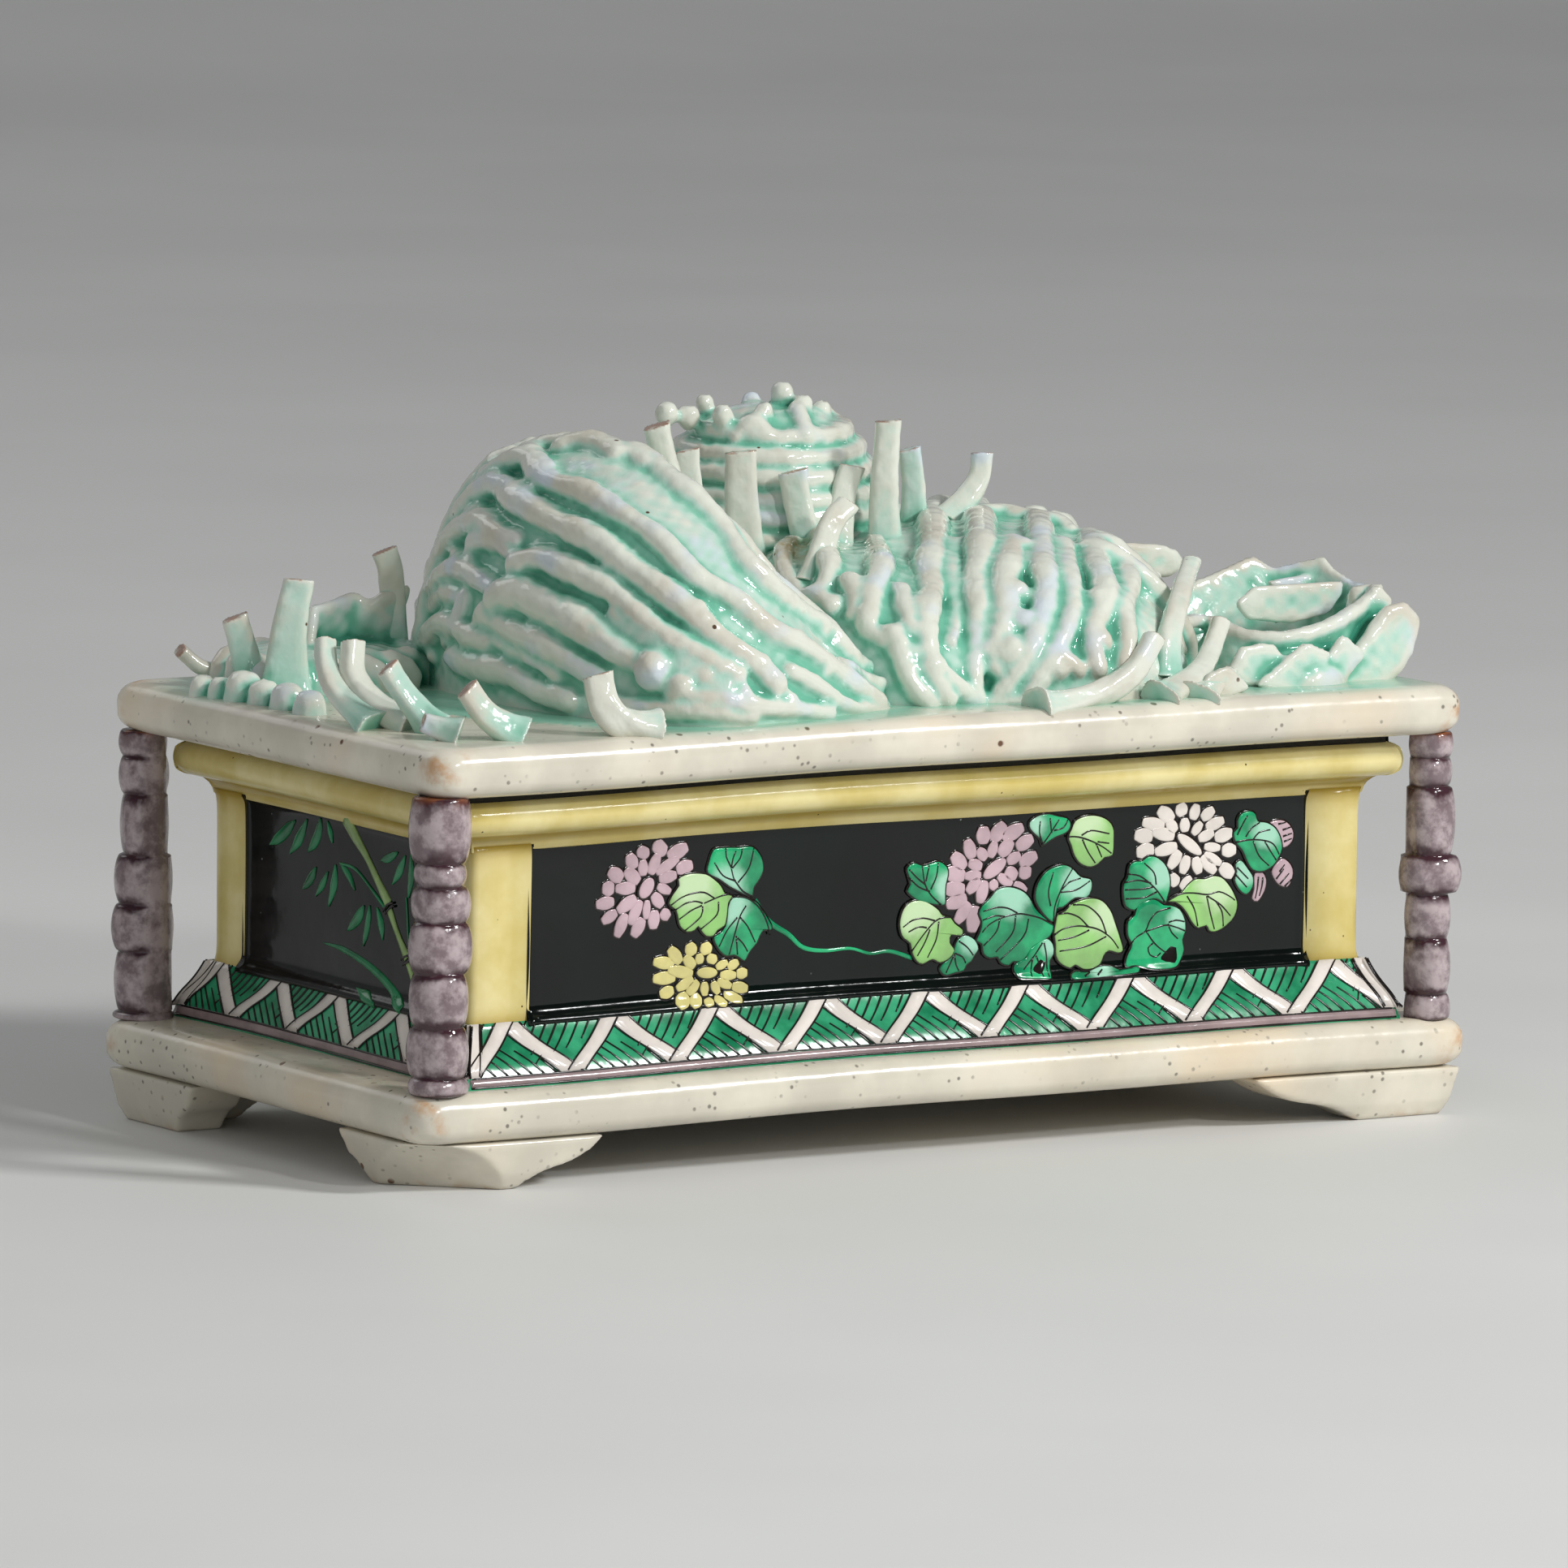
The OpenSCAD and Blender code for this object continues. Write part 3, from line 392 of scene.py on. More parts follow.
def bar_faces(rows, columns):
    """The faces of a bar made of open rows, closed behind and at its two ends."""
    last = (rows - 1) * columns
    faces = ring_faces(rows, columns, closed=False)
    faces += [(last + j, last + j + 1, j + 1, j) for j in range(columns - 1)]
    faces.append(tuple(i * columns for i in reversed(range(rows))))
    faces.append(tuple(i * columns + columns - 1 for i in range(rows)))
    return faces


def flipped(faces):
    return [tuple(reversed(face)) for face in faces]


def tube(path, radii):
    """A closed round bar with round ends along a path."""
    path = np.asarray(path, float)
    radii = np.broadcast_to(np.asarray(radii, float), (len(path),))
    along = headings(path)
    side = np.array(TUBE_SEAM)
    angles = np.linspace(0, 2 * math.pi, TUBE_SIDES, endpoint=False)
    rings = []

    def ring(centre, direction, radius):
        u = side - direction * (side @ direction)
        u /= np.linalg.norm(u) + 1e-9
        v = np.cross(direction, u)
        rings.append(centre + radius * (np.cos(angles)[:, None] * u + np.sin(angles)[:, None] * v))

    for a in np.radians((80, 55, 25)):
        ring(path[0] - along[0] * math.sin(a) * radii[0], along[0], radii[0] * math.cos(a))
    for centre, direction, radius in zip(path, along, radii):
        ring(centre, direction, radius)
    for a in np.radians((25, 55, 80)):
        ring(path[-1] + along[-1] * math.sin(a) * radii[-1], along[-1], radii[-1] * math.cos(a))
    return np.vstack(rings), rod_faces(len(rings), TUBE_SIDES)


def ball(centre, radius, stretch=(1, 1, 1)):
    """A round lump."""
    mesh = bmesh.new()
    bmesh.ops.create_icosphere(mesh, subdivisions=2, radius=1)
    points = np.array([v.co for v in mesh.verts]) * radius * np.array(stretch) + np.array(centre)
    faces = [tuple(v.index for v in f.verts) for f in mesh.faces]
    mesh.free()
    return points, faces


def wrap(balls):
    """The skin stretched round several balls, given as x, y, z, radius."""
    mesh = bmesh.new()
    for x, y, z, r in balls:
        points, _ = ball((x, y, z), r)
        for p in points:
            mesh.verts.new(p)
    hull = bmesh.ops.convex_hull(mesh, input=mesh.verts)
    loose = [g for g in hull["geom_interior"] + hull["geom_unused"] if isinstance(g, bmesh.types.BMVert)]
    bmesh.ops.delete(mesh, geom=list(set(loose)), context="VERTS")
    mesh.verts.index_update()
    points = np.array([v.co for v in mesh.verts])
    faces = [tuple(v.index for v in f.verts) for f in mesh.faces]
    mesh.free()
    return points, faces


def side_mix(values, azimuth):
    c, s = np.cos(azimuth), np.sin(azimuth)
    return c * c * np.where(c > 0, values[0], values[2]) + s * s * np.where(s > 0, values[1], values[3])


def dome_point(name, azimuth, elevation, inset=0.0):
    """A point on a dome at an angle round it and an angle up it, in degrees."""
    (cx, cy), radii, height, side_curve, top_curve = DOMES[name]
    a, e = np.radians(azimuth), np.radians(elevation)
    c, s = np.cos(a), np.sin(a)
    reach = np.cos(e).clip(0, 1) ** side_mix(side_curve, a)
    rise = np.sin(e).clip(0, 1) ** side_mix(top_curve, a)
    return np.stack(
        [
            cx + c * reach * (np.where(c > 0, radii[0], radii[2]) - inset),
            cy + s * reach * (np.where(s > 0, radii[1], radii[3]) - inset),
            TOP_Z + (height - inset) * rise,
        ],
        axis=-1,
    )


def dome_body(name, inset=0.0):
    """The plain body of a dome, set a little into the slab."""
    turns, levels = 72, np.concatenate([[0], np.linspace(0, 88, 26)])
    azimuth, level = np.meshgrid(np.arange(turns) * 360 / turns, levels)
    points = dome_point(name, azimuth, level, inset)
    points[0, :, 2] -= 1.0
    points = points.reshape(-1, 3)
    return points, rod_faces(len(levels), turns)


def photo_ray(x, y):
    """The camera's place and the direction of a place in the photograph."""
    eye, right, up, back = camera_axes()
    scale = CAMERA_LENS / SENSOR * PHOTO_SIZE
    return eye, right * (x - PHOTO_SIZE / 2) / scale - up * (y - PHOTO_SIZE / 2) / scale - back


def view_ray(view, x, y):
    """The same for a place in an enlarged view of the photograph."""
    (left, top), scale = view
    return photo_ray(left + x / scale, top + y / scale)


def seen_at(view, x, y, depth):
    """The point seen at a place in a view, on the upright plane at that depth."""
    eye, ray = view_ray(view, x, y)
    return eye + ray * ((depth - eye[1]) / ray[1])


def seen_on(tree, view, points, middle):
    """Where places in a view fall on a body; one just outside it is drawn in towards the middle."""
    out = []
    for x, y in np.reshape(points, (-1, 2)):
        for pull in np.linspace(0, 0.4, 21):
            eye, ray = view_ray(view, x + (middle[0] - x) * pull, y + (middle[1] - y) * pull)
            hit = tree.ray_cast(Vector(eye), Vector(ray).normalized())
            if hit[0] is not None:
                out.append(np.array(hit[0]) + 0.35 * np.array(hit[1]))
                break
    return np.array(out)


def traced(tree, view, ridges, lumps, middle, seed=0.0):
    """Ridges and lumps laid on a body where the photograph shows them."""
    shells = []
    for k, (points, radii) in enumerate(ridges):
        path = seen_on(tree, view, points, middle)
        if len(path) < 2:
            continue
        path = smooth_path(path, 0.7)
        for _ in range(6):
            path[1:-1] = 0.5 * path[1:-1] + 0.25 * (path[:-2] + path[2:])
        s = np.arange(len(path)) * 0.7
        t = np.linspace(0, 1, len(path))
        radius = np.interp(t, np.linspace(0, 1, len(radii)), radii) * 1.12
        radius = radius * (1 + 0.08 * np.sin(s / 2.6 + k * 1.9 + seed) + 0.03 * np.sin(s / 1.2 + 2.7 * k))
        path[:, 2] = np.maximum(path[:, 2] + 0.2 * np.sin(s / 2.3 + k), TOP_Z - 0.2)
        shells.append(tube(path, radius))
    for x, y, r in lumps:
        centre = seen_on(tree, view, [(x, y)], middle)
        if len(centre):
            shells.append(ball(centre[0] + (0, 0, 0.2), r, (1.1, 1.0, 1.15)))
    return shells


def body_tree(shells):
    points, faces = join(shells)
    return BVHTree.FromPolygons(points.tolist(), faces)


def unwrap(places):
    """Ridge places with their angles made continuous."""
    out = np.array(places, float)
    out[:, 0] = np.degrees(np.unwrap(np.radians(out[:, 0])))
    return out


def ridge(name, places, radius, seed=0.0):
    """A rolled ridge of clay laid over a dome, uneven as fingers leave it."""
    fine = smooth_path(unwrap(places), 2.5)
    path = smooth_path(dome_point(name, fine[:, 0], fine[:, 1], 1.1), 0.9)
    s = np.arange(len(path)) * 0.9
    lumps = 1 + 0.08 * np.sin(s / 2.6 + seed) + 0.03 * np.sin(s / 1.2 + 2 * seed)
    end = np.minimum(1, 0.72 + (s[-1] - s) / 14)
    start = 1 + 0.22 * np.exp(-((s - 1.2) / 1.8) ** 2)
    path[:, 2] += 0.25 * np.sin(s / 3.1 + seed)
    return tube(path, radius * lumps * end * start)


def fan(name, start, stop, count, radius, levels=(64, 45, 24, 4)):
    """Ridges that sweep down a side of a dome."""
    out = []
    for i, azimuth in enumerate(np.linspace(start, stop, count)):
        places = [(azimuth + turned, level) for turned, level in zip((0, 9, 18, 24), levels)]
        out.append(ridge(name, places, radius, seed=i * 1.7))
    return out


def melt(shells, voxel, rounds, foot=True):
    """Fuses closed shells into one skin, rounds it as glaze does and returns a mesh in mm."""
    points, faces = join(shells)
    mesh = bpy.data.meshes.new("clay")
    mesh.from_pydata(points.tolist(), [], faces)
    lump = bpy.data.objects.new("clay", mesh)
    bpy.context.scene.collection.objects.link(lump)
    skin = lump.modifiers.new("skin", "REMESH")
    skin.mode = "VOXEL"
    skin.voxel_size = voxel * 1
    smooth = lump.modifiers.new("smooth", "SMOOTH")
    smooth.factor = 0.5
    smooth.iterations = rounds
    graph = bpy.context.evaluated_depsgraph_get()
    result = bpy.data.meshes.new_from_object(lump.evaluated_get(graph))
    bpy.data.objects.remove(lump)
    bpy.data.meshes.remove(mesh)
    points, facing = get_points(result), get_normals(result)[:, 2]
    level = np.clip((facing - 0.8) / 0.15, 0, 1)[:, None]
    points = points + (spread(result, points, 10) - points) * level
    if foot:
        points[:, 2] = np.maximum(points[:, 2], TOP_Z - 0.6)
    set_points(result, points)
    return result


def finger(mesh, amount=0.09):
    """The small unevenness that fingers leave, pressed into a skin."""
    points, normals = get_points(mesh), get_normals(mesh)
    x, y, z = points.T
    small = np.sin(x * 1.7 + 0.9 * np.sin(z * 0.8)) * np.sin(y * 1.5 + 1.1 * np.sin(x * 0.7))
    small = small * np.sin(z * 1.9 + 0.8 * np.sin(y * 0.9))
    wide = 0.5 * np.sin(x * 0.61 + z * 0.83) * np.sin(y * 0.7 - z * 0.52)
    above = np.clip((z - TOP_Z) / 1.5, 0, 1)
    set_points(mesh, points + normals * (amount * (small + wide) * above)[:, None])


def get_points(mesh):
    co = np.zeros(len(mesh.vertices) * 3)
    mesh.vertices.foreach_get("co", co)
    return co.reshape(-1, 3)


def set_points(mesh, points):
    mesh.vertices.foreach_set("co", points.ravel())
    mesh.update()


def get_normals(mesh):
    normals = np.zeros(len(mesh.vertices) * 3)
    mesh.vertices.foreach_get("normal", normals)
    return normals.reshape(-1, 3)


def spread(mesh, values, rounds):
    """Values averaged again and again with their neighbours' over a mesh."""
    edges = np.zeros(len(mesh.edges) * 2, np.int64)
    mesh.edges.foreach_get("vertices", edges)
    a, b = edges.reshape(-1, 2).T
    n = len(mesh.vertices)
    count = np.bincount(a, minlength=n) + np.bincount(b, minlength=n) + 1e-9
    values = np.array(values, float)
    flat = values.reshape(n, -1)
    for _ in range(rounds):
        total = np.empty_like(flat)
        for k in range(flat.shape[1]):
            total[:, k] = (np.bincount(a, weights=flat[b, k], minlength=n)
                           + np.bincount(b, weights=flat[a, k], minlength=n))
        flat = 0.5 * flat + 0.5 * total / count[:, None]
    return flat.reshape(values.shape)


def sunk(mesh, rounds):
    """How far the clay round each point stands above it."""
    points = get_points(mesh)
    return ((spread(mesh, points, rounds) - points) * get_normals(mesh)).sum(axis=1)


def set_values(mesh, name, values):
    attribute = mesh.attributes.get(name) or mesh.attributes.new(name, "FLOAT", "POINT")
    attribute.data.foreach_set("value", np.asarray(values, np.float32))


def place(mesh, name, slot, nodes=(), kind=None):
    """Makes a piece of a mesh in mm, finished as its slot or another kind, and hands it to the frame."""
    mesh.transform(Matrix.Scale(MM, 4))
    mesh.name = name
    mesh.polygons.foreach_set("use_smooth", [True] * len(mesh.polygons))
    piece = bpy.data.objects.new(name, mesh)
    bpy.context.scene.collection.objects.link(piece)
    mesh.materials.clear()
    mesh.materials.append(fired(kind or slot))
    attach(piece, "root")
    if nodes:
        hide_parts(*nodes)
    return piece


def shell_mesh(shells):
    """Closed shells as one mesh in mm, swayed as the whole stand is."""
    points, faces = join(shells)
    mesh = bpy.data.meshes.new("shell")
    mesh.from_pydata(sway(points).tolist(), [], faces)
    mesh.update()
    return mesh


class Nodes:
    """Short ways to build a material's node tree."""

    def __init__(self, name):
        self.material = bpy.data.materials.new(FIRED + name)
        self.material.use_nodes = True
        self.tree = self.material.node_tree
        self.shader = self.tree.nodes["Principled BSDF"]
        self.place = self.add("ShaderNodeTexCoord").outputs["Object"]

    def add(self, kind, values=None, **settings):
        """A new node; values go to its inputs, by name or number."""
        node = self.tree.nodes.new(kind)
        for key, value in settings.items():
            setattr(node, key, value)
        return self.wire(node, values or {})

    def wire(self, node, values):
        """Links a node's inputs to outputs, or sets them."""
        for key, value in values.items():
            if isinstance(value, bpy.types.NodeSocket):
                self.tree.links.new(value, node.inputs[key])
            else:
                node.inputs[key].default_value = value
        return node

    def noise(self, scale, detail, rough=0.55):
        """Smooth random values; scale is in patches to a metre."""
        values = {"Vector": self.place, "Scale": scale, "Detail": detail, "Roughness": rough}
        return self.add("ShaderNodeTexNoise", values).outputs["Fac"]

    def dots(self, scale):
        """Distance to the nearest of many scattered points."""
        values = {"Vector": self.place, "Scale": scale}
        return self.add("ShaderNodeTexVoronoi", values).outputs["Distance"]

    def ramp(self, value, low, high, bottom=0.0, top=1.0):
        values = {"Value": value, "From Min": low, "From Max": high, "To Min": bottom, "To Max": top}
        return self.add("ShaderNodeMapRange", values, interpolation_type="SMOOTHSTEP").outputs["Result"]

    def math(self, operation, a, b):
        return self.add("ShaderNodeMath", {0: a, 1: b}, operation=operation).outputs[0]

    def attribute(self, name):
        return self.add("ShaderNodeAttribute", attribute_name=name).outputs["Fac"]

    def cloud(self, scale, detail, low, high, *ends):
        """Soft patches, ramped."""
        return self.ramp(self.noise(scale, detail), low, high, *ends)

    def specks(self, scale, wide, small, *patches):
        """Small dots, where the patches let them show."""
        return self.math("MULTIPLY", self.ramp(self.dots(scale), wide, small), self.cloud(*patches))

    def broken(self, name, *patches):
        """A value of the mesh, broken up by patches."""
        return self.math("MULTIPLY", self.attribute(name), self.cloud(*patches))

    def uneven(self, name, *patches):
        """A value of the mesh with an uneven edge."""
        return self.math("ADD", self.attribute(name), self.cloud(*patches))

    def mix(self, factor, a, b):
        """Between two colours, each a screen colour or an output."""
        a, b = (linear(c) if isinstance(c, tuple) else c for c in (a, b))
        return self.add("ShaderNodeMix", {"Factor": factor, 6: a, 7: b}, data_type="RGBA").outputs[2]

    def finish(self, colour, roughness, bumps=(), coat=0.0):
        """Fits the shader; a bump is its noise's scale and detail, its strength and its depth in mm."""
        values = {"Base Color": colour, "Roughness": roughness, "Coat Weight": coat, "Coat Roughness": 0.05}
        for scale, detail, strength, depth in bumps:
            height = {"Height": self.noise(scale, detail), "Strength": strength, "Distance": depth * MM}
            if "Normal" in values:
                height["Normal"] = values["Normal"]
            values["Normal"] = self.add("ShaderNodeBump", height).outputs["Normal"]
        self.wire(self.shader, values)
        return self.material


def ivory_glaze(n, colours):
    """Warm ivory with fine dark and rust specks, worn orange at the corners."""
    ivory = tuple(colours.ivory)
    colour = n.mix(n.cloud(70, 4, 0.35, 0.7), shade(ivory, 0.93), shade(ivory, 1.03))
    colour = n.mix(n.cloud(28, 3, 0.5, 0.75), colour, (0.87, 0.80, 0.69))
    colour = n.mix(n.specks(620, 0.24, 0.10, 150, 3, 0.44, 0.62), colour, (0.50, 0.48, 0.43))
    colour = n.mix(n.specks(170, 0.10, 0.06, 60, 1, 0.48, 0.54), colour, (0.40, 0.27, 0.18))
    colour = n.mix(n.broken("pool", 120, 3, 0.2, 0.5), colour, (0.56, 0.78, 0.69))
    colour = n.mix(n.broken("wear", 260, 4, 0.46, 0.72), colour, (0.76, 0.57, 0.38))
    return n.finish(colour, n.cloud(90, 3, 0.3, 0.7, 0.14, 0.26), [(110, 3, 0.35, 0.5), (700, 3, 0.12, 0.1)])


def celadon_glaze(n, colours):
    """Pale on the ridges and sea green where the glaze gathers."""
    hollow = n.uneven("hollow", 120, 3, 0.25, 0.75, -0.14, 0.14)
    colour = n.mix(n.cloud(75, 4, 0.45, 0.68), tuple(colours.pale), (0.80, 0.78, 0.72))
    colour = n.mix(n.cloud(95, 2, 0.52, 0.72), colour, (0.80, 0.84, 0.87))
    colour = n.mix(n.ramp(hollow, 0.0, 0.55), colour, (0.70, 0.83, 0.77))
    colour = n.mix(n.ramp(hollow, 0.4, 1.05), colour, tuple(colours.pool))
    colour = n.mix(n.ramp(hollow, 0.95, 1.6), colour, (0.24, 0.55, 0.45))
    colour = n.mix(n.specks(190, 0.075, 0.045, 70, 1, 0.5, 0.54), colour, (0.33, 0.24, 0.17))
    colour = n.mix(n.broken("cut", 500, 3, 0.35, 0.55), colour, (0.62, 0.48, 0.40))
    colour = n.mix(n.broken("stain", 300, 3, 0.35, 0.6), colour, (0.62, 0.52, 0.25))
    return n.finish(colour, n.cloud(120, 3, 0.3, 0.7, 0.07, 0.16),
                    [(260, 3, 0.5, 0.5), (900, 2, 0.12, 0.08)], coat=0.3)


def yellow_glaze(n, colours):
    """Straw yellow, olive where it lies thick in a corner."""
    colour = n.mix(n.cloud(85, 4, 0.3, 0.7), shade(tuple(colours.yellow), 0.94), (0.90, 0.85, 0.62))
    colour = n.mix(n.attribute("pool"), colour, (0.66, 0.55, 0.20))
    colour = n.mix(n.ramp(n.attribute("line"), 0.35, 0.6), colour, (0.05, 0.05, 0.04))
    colour = n.mix(n.specks(420, 0.08, 0.04, 120, 1, 0.5, 0.56), colour, (0.30, 0.25, 0.12))
    return n.finish(colour, n.cloud(150, 3, 0.3, 0.7, 0.12, 0.24), [(160, 3, 0.35, 0.3), (800, 2, 0.1, 0.06)])


def black_glaze(n, colours):
    """Green-black with pinholes that catch the light."""
    colour = n.mix(n.cloud(60, 4, 0.35, 0.7), tuple(colours.black), (0.018, 0.06, 0.042))
    colour = n.mix(n.specks(330, 0.06, 0.03, 80, 1, 0.52, 0.57), colour, (0.45, 0.48, 0.46))
    n.shader.inputs["Specular IOR Level"].default_value = 0.3
    return n.finish(colour, n.cloud(130, 3, 0.3, 0.7, 0.06, 0.13), [(120, 3, 0.3, 0.3), (1100, 2, 0.08, 0.05)])


def aubergine_glaze(n, colours):
    """Mottled pink-grey, dark plum in the grooves."""
    mottle = n.ramp(n.noise(300, 4, 0.65), 0.36, 0.64)
    groove = n.ramp(n.uneven("hollow", 330, 3, 0.3, 0.7, -0.2, 0.25), 0.25, 0.75)
    colour = n.mix(mottle, shade(tuple(colours.aubergine), 0.80), (0.71, 0.65, 0.66))
    colour = n.mix(groove, colour, (0.25, 0.15, 0.18))
    colour = n.mix(n.broken("wear", 400, 2, 0.4, 0.6), colour, (0.52, 0.30, 0.18))
    return n.finish(colour, n.cloud(200, 3, 0.3, 0.7, 0.10, 0.22), [(420, 3, 0.4, 0.3)])


def leaf_enamel(n, deep, faint, bright):
    """A translucent green that runs out pale at one edge."""
    colour = n.mix(n.cloud(170, 4, 0.3, 0.7), shade(deep, 0.82), bright)
    thin = n.ramp(n.uneven("pale", 260, 3, 0.3, 0.7, -0.15, 0.15), 0.15, 0.9)
    return n.finish(n.mix(thin, colour, faint), n.cloud(200, 3, 0.3, 0.7, 0.08, 0.18),
                    [(190, 3, 0.3, 0.2), (900, 2, 0.08, 0.06)])


def plain_enamel(n, colour, dim, bright):
    """An enamel that is a little thicker and darker in places."""
    rough = 0.14
    cloud = n.mix(n.cloud(150.0, 4, 0.32, 0.68), shade(colour, dim), shade(colour, bright))
    return n.finish(cloud, n.cloud(200, 3, 0.3, 0.7, rough * 0.7, rough * 1.4),
                    [(190, 3, 0.3, 0.25), (900, 2, 0.08, 0.06)])


GLAZES = {
    "ivory_glaze": ivory_glaze, "celadon_glaze": celadon_glaze, "yellow_glaze": yellow_glaze,
    "black_glaze": black_glaze, "aubergine_glaze": aubergine_glaze,
}
FIRED = "fired_"


def fired(kind):
    """A glaze or enamel by name, made the first time that it is asked for."""
    made = bpy.data.materials.get(FIRED + kind)
    if made:
        return made
    n, colours = Nodes(kind), bpy.context.scene.glaze
    if kind in GLAZES:
        return GLAZES[kind](n, colours)
    emerald = tuple(colours.emerald)
    leaves = {
        "enamel_leaf": (emerald, (0.62, 0.82, 0.72), (0.16, 0.70, 0.46)),
        "enamel_lime": (tuple(colours.lime), (0.76, 0.86, 0.68), (0.58, 0.80, 0.46)),
        "enamel_band": (shade(emerald, 0.95), (0.40, 0.72, 0.60), (0.24, 0.66, 0.48)),
        "enamel_bamboo_leaf": ((0.05, 0.44, 0.26), (0.3, 0.6, 0.42), (0.12, 0.52, 0.33)),
    }
    if kind in leaves:
        return leaf_enamel(n, *leaves[kind])
    plain = {
        "enamel_petal": (tuple(colours.petal), 0.90, 1.06),
        "enamel_white": (tuple(colours.white), 0.94, 1.03),
        "enamel_butter": ((0.83, 0.79, 0.52), 0.92, 1.06),
        "enamel_line": ((0.10, 0.075, 0.07), 0.8, 1.2),
        "enamel_bamboo": ((0.55, 0.66, 0.42), 0.85, 1.1),
        "enamel_plum_line": ((0.57, 0.50, 0.50), 0.9, 1.1),
    }
    return plain_enamel(n, *plain[kind])


def rounded_loop(half_l, half_w, radius, step):
    """A rectangle with round corners as evenly spaced points."""
    quarter = np.linspace(0, math.pi / 2, max(3, int(radius * 1.57 / step) + 1))
    corners, out = [], []
    for sx, sy, start in ((1, 1, 0), (-1, 1, 90), (-1, -1, 180), (1, -1, 270)):
        a = quarter + math.radians(start)
        centre = (sx * (half_l - radius), sy * (half_w - radius))
        corners.append(centre + radius * np.column_stack([np.cos(a), np.sin(a)]))
    for i, arc in enumerate(corners):
        nxt = corners[(i + 1) % 4][0]
        count = max(1, int(np.linalg.norm(nxt - arc[-1]) / step))
        out.append(arc)
        out.append(arc[-1] + (np.arange(1, count) / count)[:, None] * (nxt - arc[-1]))
    return np.vstack(out)


def slab_shell(low, high, edge, corner):
    """A slab with rounded edges, its faces ringed so that it can sway and take a pool of glaze."""
    half_l, half_w = (high[0] - low[0]) / 2, (high[1] - low[1]) / 2
    outline = rounded_loop(half_l, half_w, corner, 1.2)
    under = (0, 1.5, 4, 7, 10, 14, 18, 22, 26, 30, 33, 36)
    levels = [(half_w * 0.985 - d, low[2]) for d in under]
    for a in np.radians(np.linspace(-90, 90, 13)):
        centre = low[2] + edge if a < 0 else high[2] - edge
        levels.append((edge * (1 - math.cos(a)), centre + edge * math.sin(a)))
    levels += [(d, high[2]) for d in np.arange(edge + 1.2, half_w * 0.98, 1.3)]
    core_l = max(half_l - half_w, 1.0)
    core = np.clip(outline, (-core_l, 0), (core_l, 0))
    away = outline - core
    rings = [row(*(core + away * (1 - inset / half_w)).T, height) for inset, height in levels]
    return np.vstack(rings), rod_faces(len(rings), len(outline))


def corner_wear(points, high, reach):
    """How near each point is to a slab's upright corner edges."""
    x = np.abs(points[:, 0]) - high[0]
    y = np.abs(points[:, 1]) - high[1]
    return np.exp(-(np.hypot(x + 1.5, y + 1.5) / reach) ** 2)


def softened_node(name, voxel, rounds):
    """A CAD node's shape with its edges rounded, as a mesh in mm."""
    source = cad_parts[name]
    points = get_points(source.data) / MM
    faces = [tuple(p.vertices) for p in source.data.polygons]
    return melt([(points, faces)], voxel, rounds, foot=False)


class BRUSHREST_OT_slabs(Operator):
    """Build the two slabs and the bracket feet"""

    bl_idname = "brushrest.slabs"
    bl_label = "Slabs and Feet"

    def execute(self, context):
        for name, low, high in (("base_slab", BASE_LOW, BASE_HIGH), ("top_slab", TOP_LOW, TOP_HIGH)):
            mesh = shell_mesh([slab_shell(low, high, SLAB_EDGE, SLAB_CORNER)])
            points = get_points(mesh)
            set_values(mesh, "wear", corner_wear(points, high, WEAR_REACH))
            if name == "top_slab":
                set_values(mesh, "pool", self.pool(points))
            place(mesh, name + "_glazed", "ivory_glaze", [name])
        for corner in CORNERS:
            mesh = softened_node("foot_" + corner, *FOOT_SKIN)
            points = get_points(mesh)
            points[:, 2] = np.maximum(points[:, 2], 0.0)
            points = sway(points)
            set_points(mesh, points)
            set_values(mesh, "wear", 0.6 * np.exp(-(points[:, 2] / 0.8) ** 2))
            place(mesh, "foot_" + corner + "_glazed", "ivory_glaze", ["foot_" + corner])
        return {"FINISHED"}

    def pool(self, points):
        """Thin green glaze that ran onto the slab round the foot of the mountain."""
        near = np.full(len(points), 99.0)
        for name in DOMES:
            ring = dome_point(name, np.arange(0, 360, 4.0), np.zeros(90))
            for p in ring[:, :2]:
                near = np.minimum(near, np.hypot(points[:, 0] - p[0], points[:, 1] - p[1]))
            (cx, cy), radii, *_ = DOMES[name]
            inside = np.hypot((points[:, 0] - cx) / np.mean(radii[::2]),
                              (points[:, 1] - cy) / np.mean(radii[1::2])) < 0.95
            near[inside] = 0
        edge = TOP_HIGH[1] - np.abs(points[:, 1])
        top = np.clip((points[:, 2] - TOP_Z + 1.2) / 1.2, 0, 1)
        return top * np.clip(1.15 - near / 7.0, 0, 1) * np.clip((edge - 0.8) / 2.5, 0, 1)


